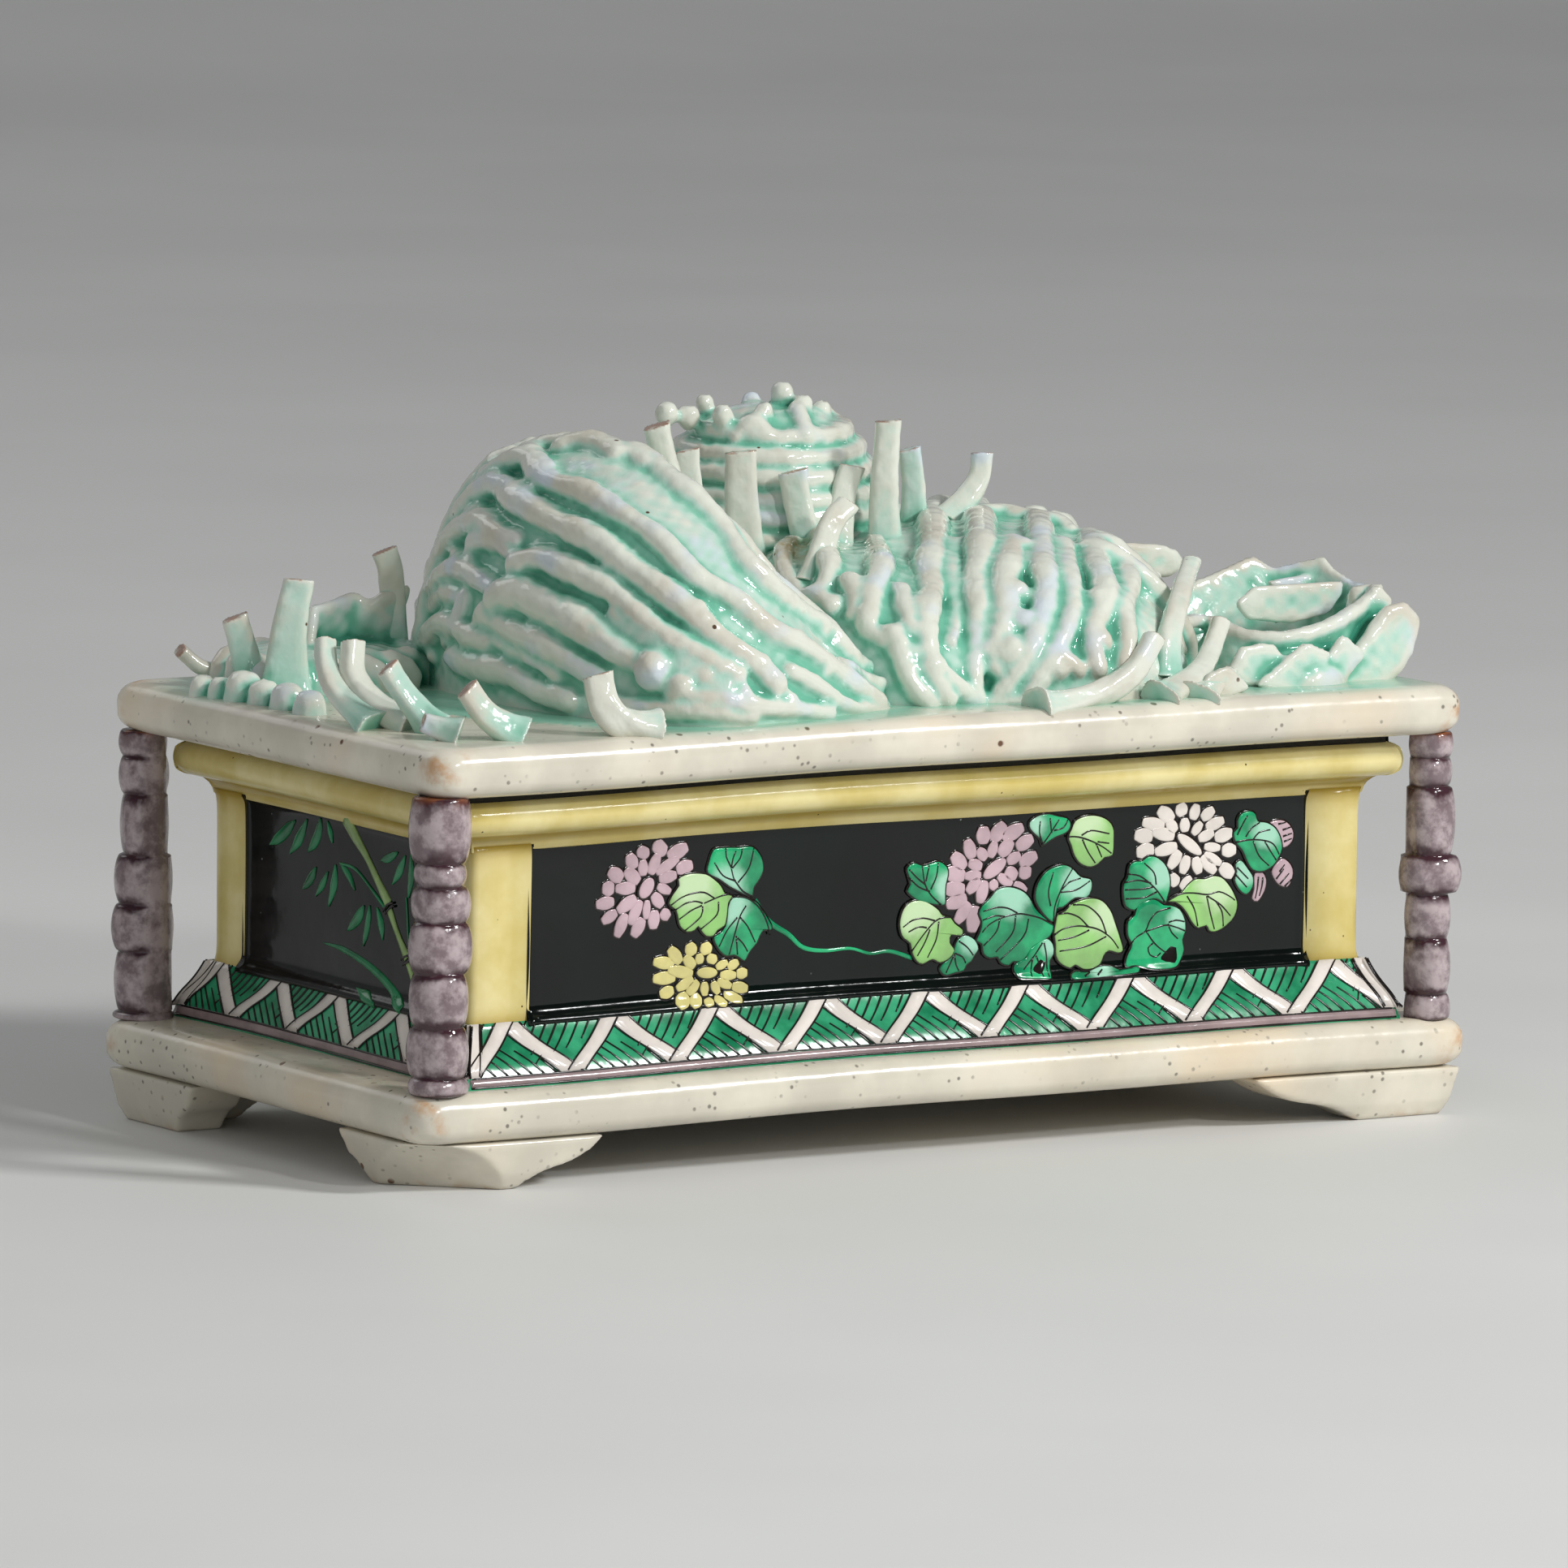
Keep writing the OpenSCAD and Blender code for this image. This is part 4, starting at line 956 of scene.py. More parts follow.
class BRUSHREST_OT_walls(Operator):
    """Build the posts, panels, skirt and cornice"""

    bl_idname = "brushrest.walls"
    bl_label = "Walls"

    def execute(self, context):
        for corner, (sx, sy) in CORNERS.items():
            self.post(corner, sx, sy)
        for side in SIDES:
            self.panel(side)
            self.skirt(side)
            self.cornice(side)
        return {"FINISHED"}

    def post(self, corner, sx, sy):
        """An L-shaped post whose outer edge is rounded."""
        r = 1.3
        arc = [(BODY_L - r + r * math.cos(a), BODY_W - r + r * math.sin(a))
               for a in np.linspace(0, math.pi / 2, 7)]
        wall = 4.0
        outer = [(BODY_L, BODY_W - POST_SIDE - 0.1)] + arc + [(BODY_L - POST_FACE - 0.1, BODY_W)]
        inner = [(BODY_L - POST_FACE - 0.1, BODY_W - wall), (BODY_L - wall, BODY_W - wall),
                 (BODY_L - wall, BODY_W - POST_SIDE - 0.1)]
        outline = np.array(outer + inner)
        rings = []
        for z in np.linspace(FLOOR_Z + 0.5, CORNICE_Z + 0.4, 30):
            flare = 0.55 * math.exp(-(CORNICE_Z + 0.4 - z) / 1.1) + 0.35 * math.exp(-max(z - SKIRT_TOP, 0) / 0.8)
            ring = outline.copy()
            ring[:len(outer)] += flare * 0.7
            rings.append(row(*(ring * (sx, sy)).T, z))
        faces = rod_faces(len(rings), len(outline))
        if sx * sy < 0:
            faces = flipped(faces)
        mesh = shell_mesh([(np.vstack(rings), faces)])
        z = get_points(mesh)[:, 2]
        head, foot = (CORNICE_Z - z).clip(0), (z - SKIRT_TOP).clip(0)
        set_values(mesh, "pool", np.exp(-head / 1.5) + 0.7 * np.exp(-foot))
        name = "corner_post_" + corner
        place(mesh, name + "_glazed", "yellow_glaze", [name])

    def panel(self, side):
        """A dark panel with soft round edges and a raised roll at its foot."""
        half = panel_half(side)
        low, high = PANEL_LOW, PANEL_HIGH
        columns = int(half * 2)
        xs = np.linspace(-half - 0.35, half + 0.35, columns)
        zs = np.concatenate([np.linspace(low, low + 3, 14), np.linspace(low + 3.8, high - 2, 16),
                             np.linspace(high - 1.5, high, 6)])
        out = wall_out(side)
        grid_x, grid_z = np.meshgrid(xs, zs)
        depth = -out + panel_depth(side, grid_x, grid_z)
        front = np.stack([grid_x, depth, grid_z], axis=-1).reshape(-1, 3)
        rear = front.copy()
        rear[:, 1] = -out + 3.6
        count = len(front)
        faces = ring_faces(len(zs), columns, closed=False)
        faces += [tuple(i + count for i in face) for face in flipped(faces)]
        border = (list(range(columns)) + [(i + 1) * columns - 1 for i in range(1, len(zs))]
                  + [len(zs) * columns - 2 - j for j in range(columns - 1)]
                  + [i * columns for i in range(len(zs) - 2, 0, -1)])
        for a, b in zip(border, border[1:] + border[:1]):
            faces.append((b, a, a + count, b + count))
        points = turn(np.vstack([front, rear]), SIDES[side])
        mesh = shell_mesh([(points, faces)])
        place(mesh, "panel_" + side + "_glazed", "black_glaze", ["panel_" + side])

    def skirt(self, side):
        """The sloping skirt, mitred with its neighbours at the corners."""
        half, out, mate = wall_half(side), wall_out(side), skirt_mate(side)
        columns = int(half * 2 / WALL_STEP)
        rings = []
        for v in np.linspace(-0.02, 1.0, 26):
            flare, z = skirt_profile(side, v)
            end = half + mate * flare / SKIRT_OUT[side]
            x = np.linspace(-end, end, columns)
            rings.append(row(x, -out - flare, z))
        for z in (SKIRT_TOP, FLOOR_Z - 0.2):
            rings.append(row(np.linspace(-half, half, columns), -out + 0.3, z))
        mesh = shell_mesh([(turn(np.vstack(rings), SIDES[side]), bar_faces(len(rings), columns))])
        place(mesh, "skirt_" + side + "_glazed", "green_band_glaze", ["skirt_" + side], "enamel_band")

    def cornice(self, side):
        """The roll with its hollow and the dark step over it, ended before the columns."""
        half, out = wall_half(side), wall_out(side)
        roll_r, roll_c, roll_z = 2.35, 2.2, CORNICE_Z + 4.4
        profile = [(-0.5, CORNICE_Z - 0.6), (0.0, CORNICE_Z - 0.3), (0.15, CORNICE_Z + 0.4),
                   (0.5, CORNICE_Z + 1.1), (1.1, CORNICE_Z + 1.7), (1.7, CORNICE_Z + 2.05)]
        for a in np.linspace(-90, 72, 15):
            profile.append((roll_c + roll_r * math.cos(math.radians(a)),
                            roll_z + roll_r * math.sin(math.radians(a))))
        profile += [(2.7, roll_z + 2.32), (2.65, DECK_Z - 0.3), (2.65, DECK_Z + 0.15), (-1, DECK_Z + 0.15)]
        columns = int(half * 2 / WALL_STEP)
        reach = 4.0 if is_long(side) else 4.1
        rings = []
        for flare, z in profile:
            end = half + min(flare, reach)
            x = np.linspace(-end, end, columns)
            taper = np.clip((end + 0.8 - np.abs(x)) / 3.0, 0, 1) ** 0.5
            rings.append(row(x, -out - flare * (0.75 + 0.25 * taper), z))
        faces = flipped(bar_faces(len(profile), columns))
        mesh = shell_mesh([(turn(np.vstack(rings), SIDES[side]), faces)])
        flares, heights = np.repeat(np.array(profile).T, columns, axis=1)
        set_values(mesh, "line", np.where(heights > roll_z + 2.25, 1.0, 0.0))
        set_values(mesh, "pool", np.exp(-((flares - 0.9) / 0.7) ** 2) * np.where(heights < roll_z - 1.5, 0.9, 0.0))
        place(mesh, "cornice_" + side + "_glazed", "yellow_glaze", ["cornice_" + side])


def skirt_profile(side, v):
    """How far out and how high the sloping skirt is, v from 0 at its foot to 1 at its top."""
    flare = SKIRT_OUT[side] * (0.94 * (1 - v) ** 1.15 + 0.06 + 0.10 * math.sin(math.pi * v))
    z = FLOOR_Z + (SKIRT_TOP - FLOOR_Z) * (v + 0.04 * math.sin(2 * math.pi * v))
    return flare, z


def is_long(side):
    return side in ("front", "back")


def wall_out(side):
    """How far a wall stands from the middle."""
    return BODY_W if is_long(side) else BODY_L


def wall_half(side):
    """Half a wall's length."""
    return BODY_L if is_long(side) else BODY_W


def skirt_mate(side):
    """How far out the skirts beside this one reach."""
    return SKIRT_OUT["right"] if is_long(side) else SKIRT_OUT["front"]


def slope_length(side):
    return math.hypot(SKIRT_OUT[side] * 0.94, SKIRT_TOP - FLOOR_Z)


def skirt_point(side, u, w, lift):
    """A point on the skirt, u mm along it and w mm up its slope, raised off its surface."""
    v = w / slope_length(side)
    flare, z = skirt_profile(side, min(max(v, 0.0), 1.0))
    flare2, z2 = skirt_profile(side, min(v + 0.02, 1.0))
    flare1, z1 = skirt_profile(side, max(v - 0.02, 0.0))
    along = np.array([flare2 - flare1, z2 - z1])
    along /= np.linalg.norm(along) + 1e-9
    return np.array([u, -wall_out(side) - flare - lift * along[1], z - lift * along[0]])


def panel_depth(side, u, z):
    """How far in the panel's face lies behind the wall's face, its edges and foot raised."""
    half = panel_half(side)
    edge = np.clip((half + 0.35 - np.abs(u)) / 1.2, 0, 1)
    rim = 0.10 * edge * (1 - edge) * 4
    foot = 1.15 * np.exp(-((z - PANEL_LOW - 0.4) / 1.05) ** 2)
    head = 0.35 * np.exp(-((PANEL_HIGH - z) / 0.8) ** 2)
    ripple = 0.05 * np.sin(u / 5.0 + z / 7.0) + 0.05 * np.sin(u / 9.3 - z / 4.0)
    return 0.34 - rim - foot - head + ripple - 0.35 * (1 - edge) ** 2


def panel_half(side):
    return BODY_L - POST_FACE if is_long(side) else BODY_W - POST_SIDE


def panel_point(side, u, z, lift):
    return np.array([u, -wall_out(side) + panel_depth(side, u, z) - lift, z])


def camera_axes():
    """The photograph's view: the camera's place in mm and its right, up and back directions."""
    yaw, pitch, roll = (math.radians(a) for a in (CAMERA_YAW, CAMERA_PITCH, CAMERA_ROLL))
    back = np.array([-math.sin(yaw) * math.cos(pitch), -math.cos(yaw) * math.cos(pitch), math.sin(pitch)])
    right = np.array([math.cos(yaw), -math.sin(yaw), 0.0])
    up = np.cross(back, right)
    right, up = (right * math.cos(roll) + up * math.sin(roll), up * math.cos(roll) - right * math.sin(roll))
    eye = np.array([0, 0, CAMERA_AIM_Z]) + back * CAMERA_DISTANCE + right * CAMERA_RIGHT + up * CAMERA_UP
    return eye, right, up, back


def seen_on_wall(side, x, y):
    """Where a place in the photograph lies on a wall: along it and up it, in mm."""
    eye, ray = photo_ray(x, y)
    if side == "front":
        hit = eye + ray * ((-BODY_W + 0.3 - eye[1]) / ray[1])
        return hit[0], hit[2]
    hit = eye + ray * ((-BODY_L + 0.3 - eye[0]) / ray[0])
    return -hit[1], hit[2]


class Drawing:
    """A part of the painting, drawn in the units of an enlarged view of the photograph."""

    def __init__(self, side, corner, scale):
        self.side, self.corner, self.scale = side, corner, scale

    def lay(self, points):
        """Where places in the view, listed as x, y, x, y, lie on the wall."""
        places = np.reshape(points, (-1, 2)) / self.scale + self.corner
        return np.array([seen_on_wall(self.side, x, y) for x, y in places])

    def size(self, value):
        """A width in the view as mm."""
        return value / self.scale / PHOTO_GRAIN


def rounded(points, step=0.45):
    """A closed outline through a few 2-D points."""
    p = np.asarray(points, float)
    out = []
    for a, b, c, d in zip(*(np.roll(p, shift, axis=0) for shift in (1, 0, -1, -2))):
        count = max(2, int(np.linalg.norm(c - b) / step))
        out.extend(bend(a, b, c, d, t) for t in np.arange(count) / count)
    return np.array(out)


def turning(outline):
    """Positive for an outline that runs anticlockwise."""
    following = np.roll(outline, -1, axis=0)
    return np.sum(outline[:, 0] * following[:, 1] - following[:, 0] * outline[:, 1])


def grow(outline, amount):
    """An outline moved outwards by a distance."""
    along = np.roll(outline, -1, axis=0) - np.roll(outline, 1, axis=0)
    along /= np.linalg.norm(along, axis=1)[:, None] + 1e-9
    side = np.column_stack([along[:, 1], -along[:, 0]]) * (1 if turning(outline) > 0 else -1)
    return outline + side * amount


def stroke(points, width, lift, surface, taper=(1.0, 1.0), thick=0.10):
    """A brushed line: a low ribbon that follows a surface through a few 2-D points."""
    path = smooth_path(points, 0.6)
    along = headings(path)
    across = np.column_stack([-along[:, 1], along[:, 0]])
    t = np.linspace(0, 1, len(path))
    shares = np.interp(t, np.linspace(0, 1, len(taper)), taper)
    half = 0.5 * width * shares * (1 + 0.08 * np.sin(9 * t + points[0][0]))
    rings = []
    for p, a, h in zip(path, across, half):
        for share, up in ((-1, -0.05), (-0.75, thick * 0.8), (0, thick), (0.75, thick * 0.8), (1, -0.05)):
            rings.append(surface(*(p + a * h * share), lift + up))
    return np.array(rings), rod_faces(len(path), 5)


def patch(outline, lift, surface, thick=0.14):
    """A raised patch of enamel inside a closed 2-D outline, thickest in its middle."""
    outline = np.asarray(outline, float)
    if turning(outline) < 0:
        outline = outline[::-1]
    centre = outline.mean(axis=0)
    size = np.abs(outline - centre).max()
    inner = np.linspace(0.88, 0.06, max(3, int(size / 0.45)))
    rings = []
    levels = [(1.0, -0.3), (1.0, 0.25 * thick), (0.97, 0.7 * thick)] + [(share, thick) for share in inner]
    for share, up in levels:
        rings.extend(surface(*(centre + (p - centre) * share), lift + up) for p in outline)
    return np.array(rings), rod_faces(len(levels), len(outline))


def petal_outline(start, tip, width):
    """A petal with a narrow root and a round tip."""
    start, tip = np.array(start, float), np.array(tip, float)
    t = np.linspace(0, 1, 8)
    half = 0.5 * width * np.sin(math.pi * (0.10 + 0.80 * t ** 0.95)) ** 0.62
    along = (tip - start) / (np.linalg.norm(tip - start) + 1e-9)
    across = np.array([-along[1], along[0]])
    middle = start + (tip - start) * t[:, None]
    return np.concatenate([middle + across * half[:, None], (middle - across * half[:, None])[::-1]])


# Enlarged views of the photograph that the painting is drawn in: wall, corner, scale
VIEWS = {
    "left_group": ("front", (700, 1000), 5.6),
    "middle_group": ("front", (1090, 980), 5.058),
    "right_group": ("front", (1360, 960), 5.6),
    "bamboo": ("left", (280, 980), 5.6),
}
# Flowers: view, enamel, heart, inner petals, outer petals; each takes five numbers: root, tip and width
FLOWERS = [
    ("left_group", "petal", (498, 602, 578, 458, 112), [515, 450, 512, 330, 72, 562, 440, 620, 290, 78,
     600, 430, 760, 322, 72, 620, 470, 748, 440, 78, 610, 515, 708, 562, 64, 580, 570, 652, 662, 78,
     545, 610, 535, 750, 58, 500, 610, 424, 784, 78, 470, 590, 338, 690, 84, 465, 530, 322, 530, 80,
     490, 490, 388, 402, 86], [460, 400, 415, 292, 86, 498, 330, 532, 240, 92, 596, 300, 664, 215, 112,
     680, 320, 824, 246, 92, 740, 410, 860, 372, 90, 640, 690, 702, 742, 76, 596, 680, 590, 820, 84,
     520, 735, 450, 870, 88, 400, 700, 336, 870, 82, 340, 690, 232, 762, 76, 322, 620, 190, 642, 82,
     322, 530, 232, 530, 92, 378, 470, 278, 404, 92]),
    ("left_group", "butter", (886, 1120, 1036, 1122, 88), [868, 1130, 692, 1096, 76, 880, 1085, 802, 1008, 72,
     915, 1065, 905, 985, 64, 985, 1065, 1005, 988, 78, 1020, 1090, 1106, 1046, 58,
     1048, 1140, 1164, 1140, 66, 1030, 1175, 1132, 1220, 62, 1000, 1180, 1040, 1270, 62,
     945, 1180, 945, 1284, 62, 905, 1175, 826, 1270, 72, 872, 1160, 752, 1234, 70], [740, 1060, 592, 1040, 78,
     785, 1055, 702, 946, 82, 868, 1005, 836, 914, 86, 965, 1000, 946, 910, 86, 1100, 1090, 1182, 1046, 64,
     1160, 1132, 1242, 1124, 72, 1130, 1215, 1244, 1234, 72, 1070, 1270, 1186, 1306, 66,
     1000, 1290, 1074, 1338, 62, 950, 1290, 964, 1350, 74, 912, 1270, 832, 1350, 74, 830, 1262, 742, 1354, 84,
     740, 1236, 636, 1270, 76, 752, 1150, 590, 1160, 82]),
    ("middle_group", "petal", (608, 518, 752, 400, 98), [650, 395, 684, 288, 66, 708, 380, 790, 280, 84,
     755, 420, 842, 368, 68, 745, 470, 822, 512, 80, 700, 500, 792, 562, 62, 660, 530, 690, 592, 64,
     620, 530, 588, 680, 78, 590, 520, 508, 612, 72, 600, 500, 490, 508, 62, 605, 450, 515, 425, 68,
     632, 402, 572, 338, 68], [610, 312, 612, 194, 90, 660, 292, 744, 174, 88, 724, 272, 860, 196, 86,
     812, 330, 920, 264, 82, 832, 430, 946, 370, 80, 830, 482, 912, 480, 82, 800, 552, 884, 604, 62,
     546, 402, 508, 278, 80, 500, 462, 418, 370, 86, 500, 510, 368, 484, 92, 500, 588, 358, 590, 86,
     512, 640, 378, 692, 84, 530, 672, 440, 802, 78, 566, 690, 540, 862, 94]),
    ("right_group", "white", (496, 386, 666, 526, 92), [480, 402, 320, 366, 82, 490, 370, 426, 290, 78,
     550, 375, 545, 270, 76, 600, 390, 666, 300, 66, 640, 420, 752, 370, 72, 680, 470, 796, 480, 62,
     680, 520, 802, 590, 66, 660, 540, 762, 652, 78, 620, 540, 650, 662, 78, 570, 530, 530, 662, 78,
     520, 500, 440, 622, 82, 500, 465, 340, 512, 82], [412, 332, 254, 300, 84, 472, 292, 364, 210, 94,
     540, 262, 510, 170, 90, 602, 290, 632, 174, 78, 662, 282, 752, 208, 78, 692, 342, 822, 284, 78,
     752, 412, 882, 370, 88, 802, 500, 906, 490, 88, 792, 602, 886, 672, 92, 332, 402, 200, 390, 94,
     342, 490, 214, 512, 98, 502, 662, 450, 742, 88, 602, 682, 520, 762, 72]),
]
# Leaves: view, enamel, outline, veins, place of the pale edge and its reach
LEAVES = [
    ("left_group", "leaf", [955, 430, 965, 350, 985, 290, 1010, 262, 1090, 255, 1170, 255, 1260, 250,
     1310, 290, 1340, 350, 1345, 420, 1320, 480, 1280, 540, 1270, 600, 1225, 592, 1170, 562, 1110, 530,
     1040, 480], [[1262, 596, 1200, 560, 1160, 510, 1135, 470, 1115, 390], [1115, 390, 1082, 320, 1080, 262],
     [1118, 400, 1130, 330, 1150, 282], [1125, 400, 1180, 330, 1193, 264], [1165, 500, 1240, 400, 1275, 264],
     [1150, 490, 1060, 450, 1000, 360]], (1080, 540), 150),
    ("left_group", "lime", [690, 640, 720, 570, 758, 515, 752, 470, 800, 440, 870, 430, 950, 440, 1010, 480,
     1050, 520, 1082, 575, 1130, 590, 1104, 640, 1098, 700, 1090, 760, 1078, 800, 1030, 830, 1000, 870,
     950, 870, 915, 832, 895, 802, 870, 830, 820, 840, 770, 800, 755, 750, 740, 690], [[1110, 575, 1050, 590,
     1000, 610, 930, 640], [1000, 605, 930, 565, 850, 570, 770, 600, 704, 650], [920, 640, 870, 625, 800, 640,
     722, 692], [915, 655, 840, 690, 762, 748], [920, 660, 910, 730, 802, 828], [1030, 630, 1020, 720,
     912, 818]], (850, 460), 210),
    ("left_group", "leaf", [1100, 660, 1130, 604, 1200, 600, 1290, 630, 1332, 680, 1372, 740, 1402, 800,
     1398, 832, 1350, 830, 1320, 870, 1300, 920, 1262, 966, 1240, 1000, 1215, 1044, 1180, 1022, 1140, 1002,
     1090, 1010, 1050, 980, 1012, 920, 1002, 872, 1040, 848, 1080, 802, 1092, 740], [[1220, 660, 1180, 730,
     1150, 830, 1106, 996], [1180, 740, 1230, 800, 1260, 860, 1284, 912], [1150, 870, 1200, 920, 1232, 976],
     [1155, 890, 1163, 996], [1160, 740, 1090, 830, 1037, 940], [1140, 594, 1230, 606, 1320, 684, 1366, 780,
     1386, 862]], (1110, 650), 150),
    ("middle_group", "leaf", [130, 606, 150, 560, 136, 500, 130, 460, 170, 425, 230, 442, 270, 430, 330, 415,
     380, 450, 388, 500, 374, 560, 370, 620, 368, 684, 330, 690, 260, 680, 190, 660], [[340, 685, 280, 630,
     240, 560, 222, 446], [240, 560, 190, 520, 142, 468], [270, 604, 200, 576, 142, 520], [245, 540,
     266, 440], [275, 590, 310, 510, 322, 424]], (372, 560), 90),
    ("middle_group", "lime", [90, 860, 85, 790, 110, 710, 160, 665, 230, 660, 290, 688, 330, 720, 352, 750,
     400, 760, 430, 800, 480, 840, 470, 880, 410, 872, 400, 920, 430, 970, 400, 1020, 340, 1050, 290, 1030,
     230, 1060, 190, 1040, 160, 982, 150, 930, 110, 900], [[400, 762, 350, 766, 300, 790, 240, 860, 190, 930,
     156, 984], [300, 785, 230, 770, 160, 785, 104, 828], [250, 830, 200, 825, 137, 858], [270, 840, 240, 920,
     194, 1006], [325, 790, 310, 900, 257, 1016]], (180, 700), 170),
    ("middle_group", "leaf", [340, 1080, 370, 1040, 402, 1010, 430, 950, 450, 902, 500, 872, 560, 902,
     584, 960, 560, 1000, 540, 1040, 510, 1060, 490, 1100, 440, 1112, 380, 1130, 350, 1112], [[430, 990,
     400, 1060, 378, 1110], [432, 988, 480, 1010, 500, 1048], [457, 912, 510, 950, 548, 1000], [430, 1000,
     440, 1060, 458, 1096]], (540, 900), 110),
    ("middle_group", "leaf", [800, 1080, 822, 1040, 880, 1010, 902, 960, 950, 920, 1010, 892, 1050, 930,
     1055, 990, 1032, 1030, 1030, 1080, 1020, 1138, 950, 1142, 880, 1142, 822, 1136], [[980, 920, 930, 1000,
     862, 1088], [920, 1010, 902, 1128], [940, 1000, 960, 1050, 975, 1128], [990, 920, 1005, 1000,
     1008, 1128]], (1040, 940), 70),
    ("middle_group", "leaf", [580, 740, 600, 690, 650, 640, 690, 590, 740, 572, 800, 575, 860, 600, 900, 640,
     932, 700, 980, 750, 1040, 800, 1050, 832, 1030, 880, 970, 920, 920, 950, 890, 1000, 850, 1040, 800, 1040,
     770, 1065, 722, 1050, 700, 1012, 650, 1020, 610, 990, 600, 930, 566, 910, 590, 850, 600, 790],
     [[1038, 802, 960, 765, 880, 745, 820, 740, 720, 765, 640, 810, 602, 856], [820, 735, 760, 705, 690, 700,
     606, 725], [740, 758, 680, 752, 604, 780], [710, 770, 690, 850, 612, 938], [810, 750, 790, 860,
     687, 978], [890, 770, 860, 880, 718, 1026]], (790, 600), 150),
    ("middle_group", "leaf", [930, 650, 935, 580, 960, 520, 1000, 470, 1060, 440, 1110, 432, 1160, 455,
     1210, 505, 1275, 525, 1280, 590, 1250, 640, 1180, 642, 1130, 680, 1100, 702, 1062, 712, 1046, 790,
     1000, 760, 960, 710], [[1046, 780, 1050, 700, 1075, 620, 1110, 540, 1158, 454], [1025, 690, 1010, 600,
     1038, 478], [1090, 590, 1140, 540, 1208, 517], [1080, 605, 1180, 590, 1266, 534]], (1200, 540), 120),
    ("middle_group", "lime", [1050, 860, 1060, 790, 1072, 740, 1120, 720, 1150, 682, 1220, 650, 1290, 640,
     1350, 660, 1400, 720, 1430, 800, 1460, 890, 1478, 966, 1448, 986, 1390, 972, 1360, 1000, 1340, 1050,
     1290, 1080, 1230, 1086, 1182, 1060, 1150, 1080, 1090, 1050, 1062, 1000, 1060, 930], [[1044, 878,
     1100, 835, 1180, 815, 1260, 820, 1330, 840, 1400, 890, 1446, 954], [1260, 820, 1200, 760, 1130, 735,
     1076, 742], [1370, 860, 1330, 760, 1250, 690, 1164, 682], [1265, 840, 1180, 880, 1074, 905], [1370, 880,
     1250, 940, 1084, 972]], (1400, 740), 150),
    ("middle_group", "leaf", [895, 212, 890, 170, 920, 140, 960, 120, 1010, 115, 1070, 130, 1120, 140,
     1145, 170, 1140, 210, 1110, 240, 1060, 260, 1010, 290, 970, 318, 958, 280, 930, 250], [[968, 312,
     1010, 250, 1070, 152], [970, 300, 950, 230, 955, 162], [1025, 235, 1015, 142], [1040, 220, 1100, 200,
     1124, 152]], (920, 180), 90),
    ("middle_group", "lime", [1130, 262, 1150, 210, 1172, 160, 1230, 130, 1300, 125, 1370, 150, 1410, 200,
     1416, 280, 1408, 376, 1360, 390, 1320, 430, 1270, 450, 1210, 430, 1170, 380, 1150, 320], [[1120, 258,
     1190, 260, 1270, 285, 1340, 320, 1398, 362], [1210, 250, 1270, 220, 1383, 240], [1215, 275, 1250, 350,
     1298, 422], [1300, 300, 1338, 386], [1310, 290, 1383, 300]], (1230, 160), 130),
    ("middle_group", "leaf", [1140, 1120, 1180, 1092, 1240, 1100, 1330, 1064, 1400, 1062, 1470, 1088,
     1556, 1062, 1556, 1100, 1380, 1124, 1250, 1138, 1152, 1146], [[1220, 1124, 1262, 1098], [1300, 1116,
     1342, 1082]], (1330, 1080), 80),
    ("right_group", "leaf", [130, 862, 120, 780, 125, 720, 150, 680, 162, 600, 200, 568, 250, 566, 290, 535,
     350, 540, 410, 590, 440, 660, 446, 740, 426, 820, 410, 860, 350, 832, 290, 842, 240, 872, 200, 910,
     150, 892], [[405, 850, 350, 770, 300, 720, 230, 670, 152, 657], [345, 730, 330, 650, 262, 582],
     [310, 720, 220, 700, 128, 716], [330, 745, 240, 762, 132, 766], [350, 780, 260, 820, 137, 828]],
     (390, 640), 120),
    ("right_group", "leaf", [150, 1060, 156, 980, 200, 940, 216, 880, 270, 840, 340, 830, 400, 868, 450, 872,
     510, 900, 545, 970, 550, 1050, 530, 1110, 540, 1180, 520, 1240, 480, 1290, 400, 1310, 300, 1310,
     200, 1290, 137, 1298, 150, 1220, 180, 1150, 160, 1100], [[443, 890, 350, 920, 300, 980, 270, 1050,
     200, 1100, 158, 1178], [275, 1050, 330, 1130, 400, 1190, 478, 1224], [280, 1050, 400, 1010, 470, 1020,
     541, 1048], [430, 990, 480, 975, 538, 985], [425, 1000, 450, 1060, 493, 1103], [322, 1134, 290, 1166,
     304, 1214, 346, 1228, 376, 1200]], (500, 960), 90),
    ("right_group", "lime", [432, 848, 470, 810, 520, 790, 560, 740, 620, 692, 690, 690, 740, 670, 800, 680,
     850, 730, 890, 800, 910, 870, 890, 950, 850, 1000, 800, 1040, 750, 1060, 712, 1050, 695, 1016, 640, 1034,
     600, 1000, 560, 930, 520, 880, 472, 852], [[436, 838, 520, 795, 610, 790, 700, 800, 780, 780, 850, 810,
     888, 838], [560, 810, 610, 900, 634, 1016], [695, 810, 720, 930, 748, 1038], [760, 850, 800, 920,
     809, 1018], [700, 810, 790, 870, 858, 946]], (760, 710), 170),
    ("right_group", "leaf", [885, 700, 900, 640, 890, 592, 930, 560, 980, 620, 1015, 680, 1010, 750, 970, 800,
     920, 770], [[892, 662, 968, 748], [902, 612, 978, 690]], (960, 640), 90),
    ("right_group", "leaf", [890, 436, 880, 370, 908, 340, 906, 290, 930, 240, 990, 220, 1030, 240, 1046, 290,
     1110, 300, 1170, 340, 1205, 410, 1214, 480, 1190, 540, 1150, 600, 1080, 640, 1010, 630, 970, 570,
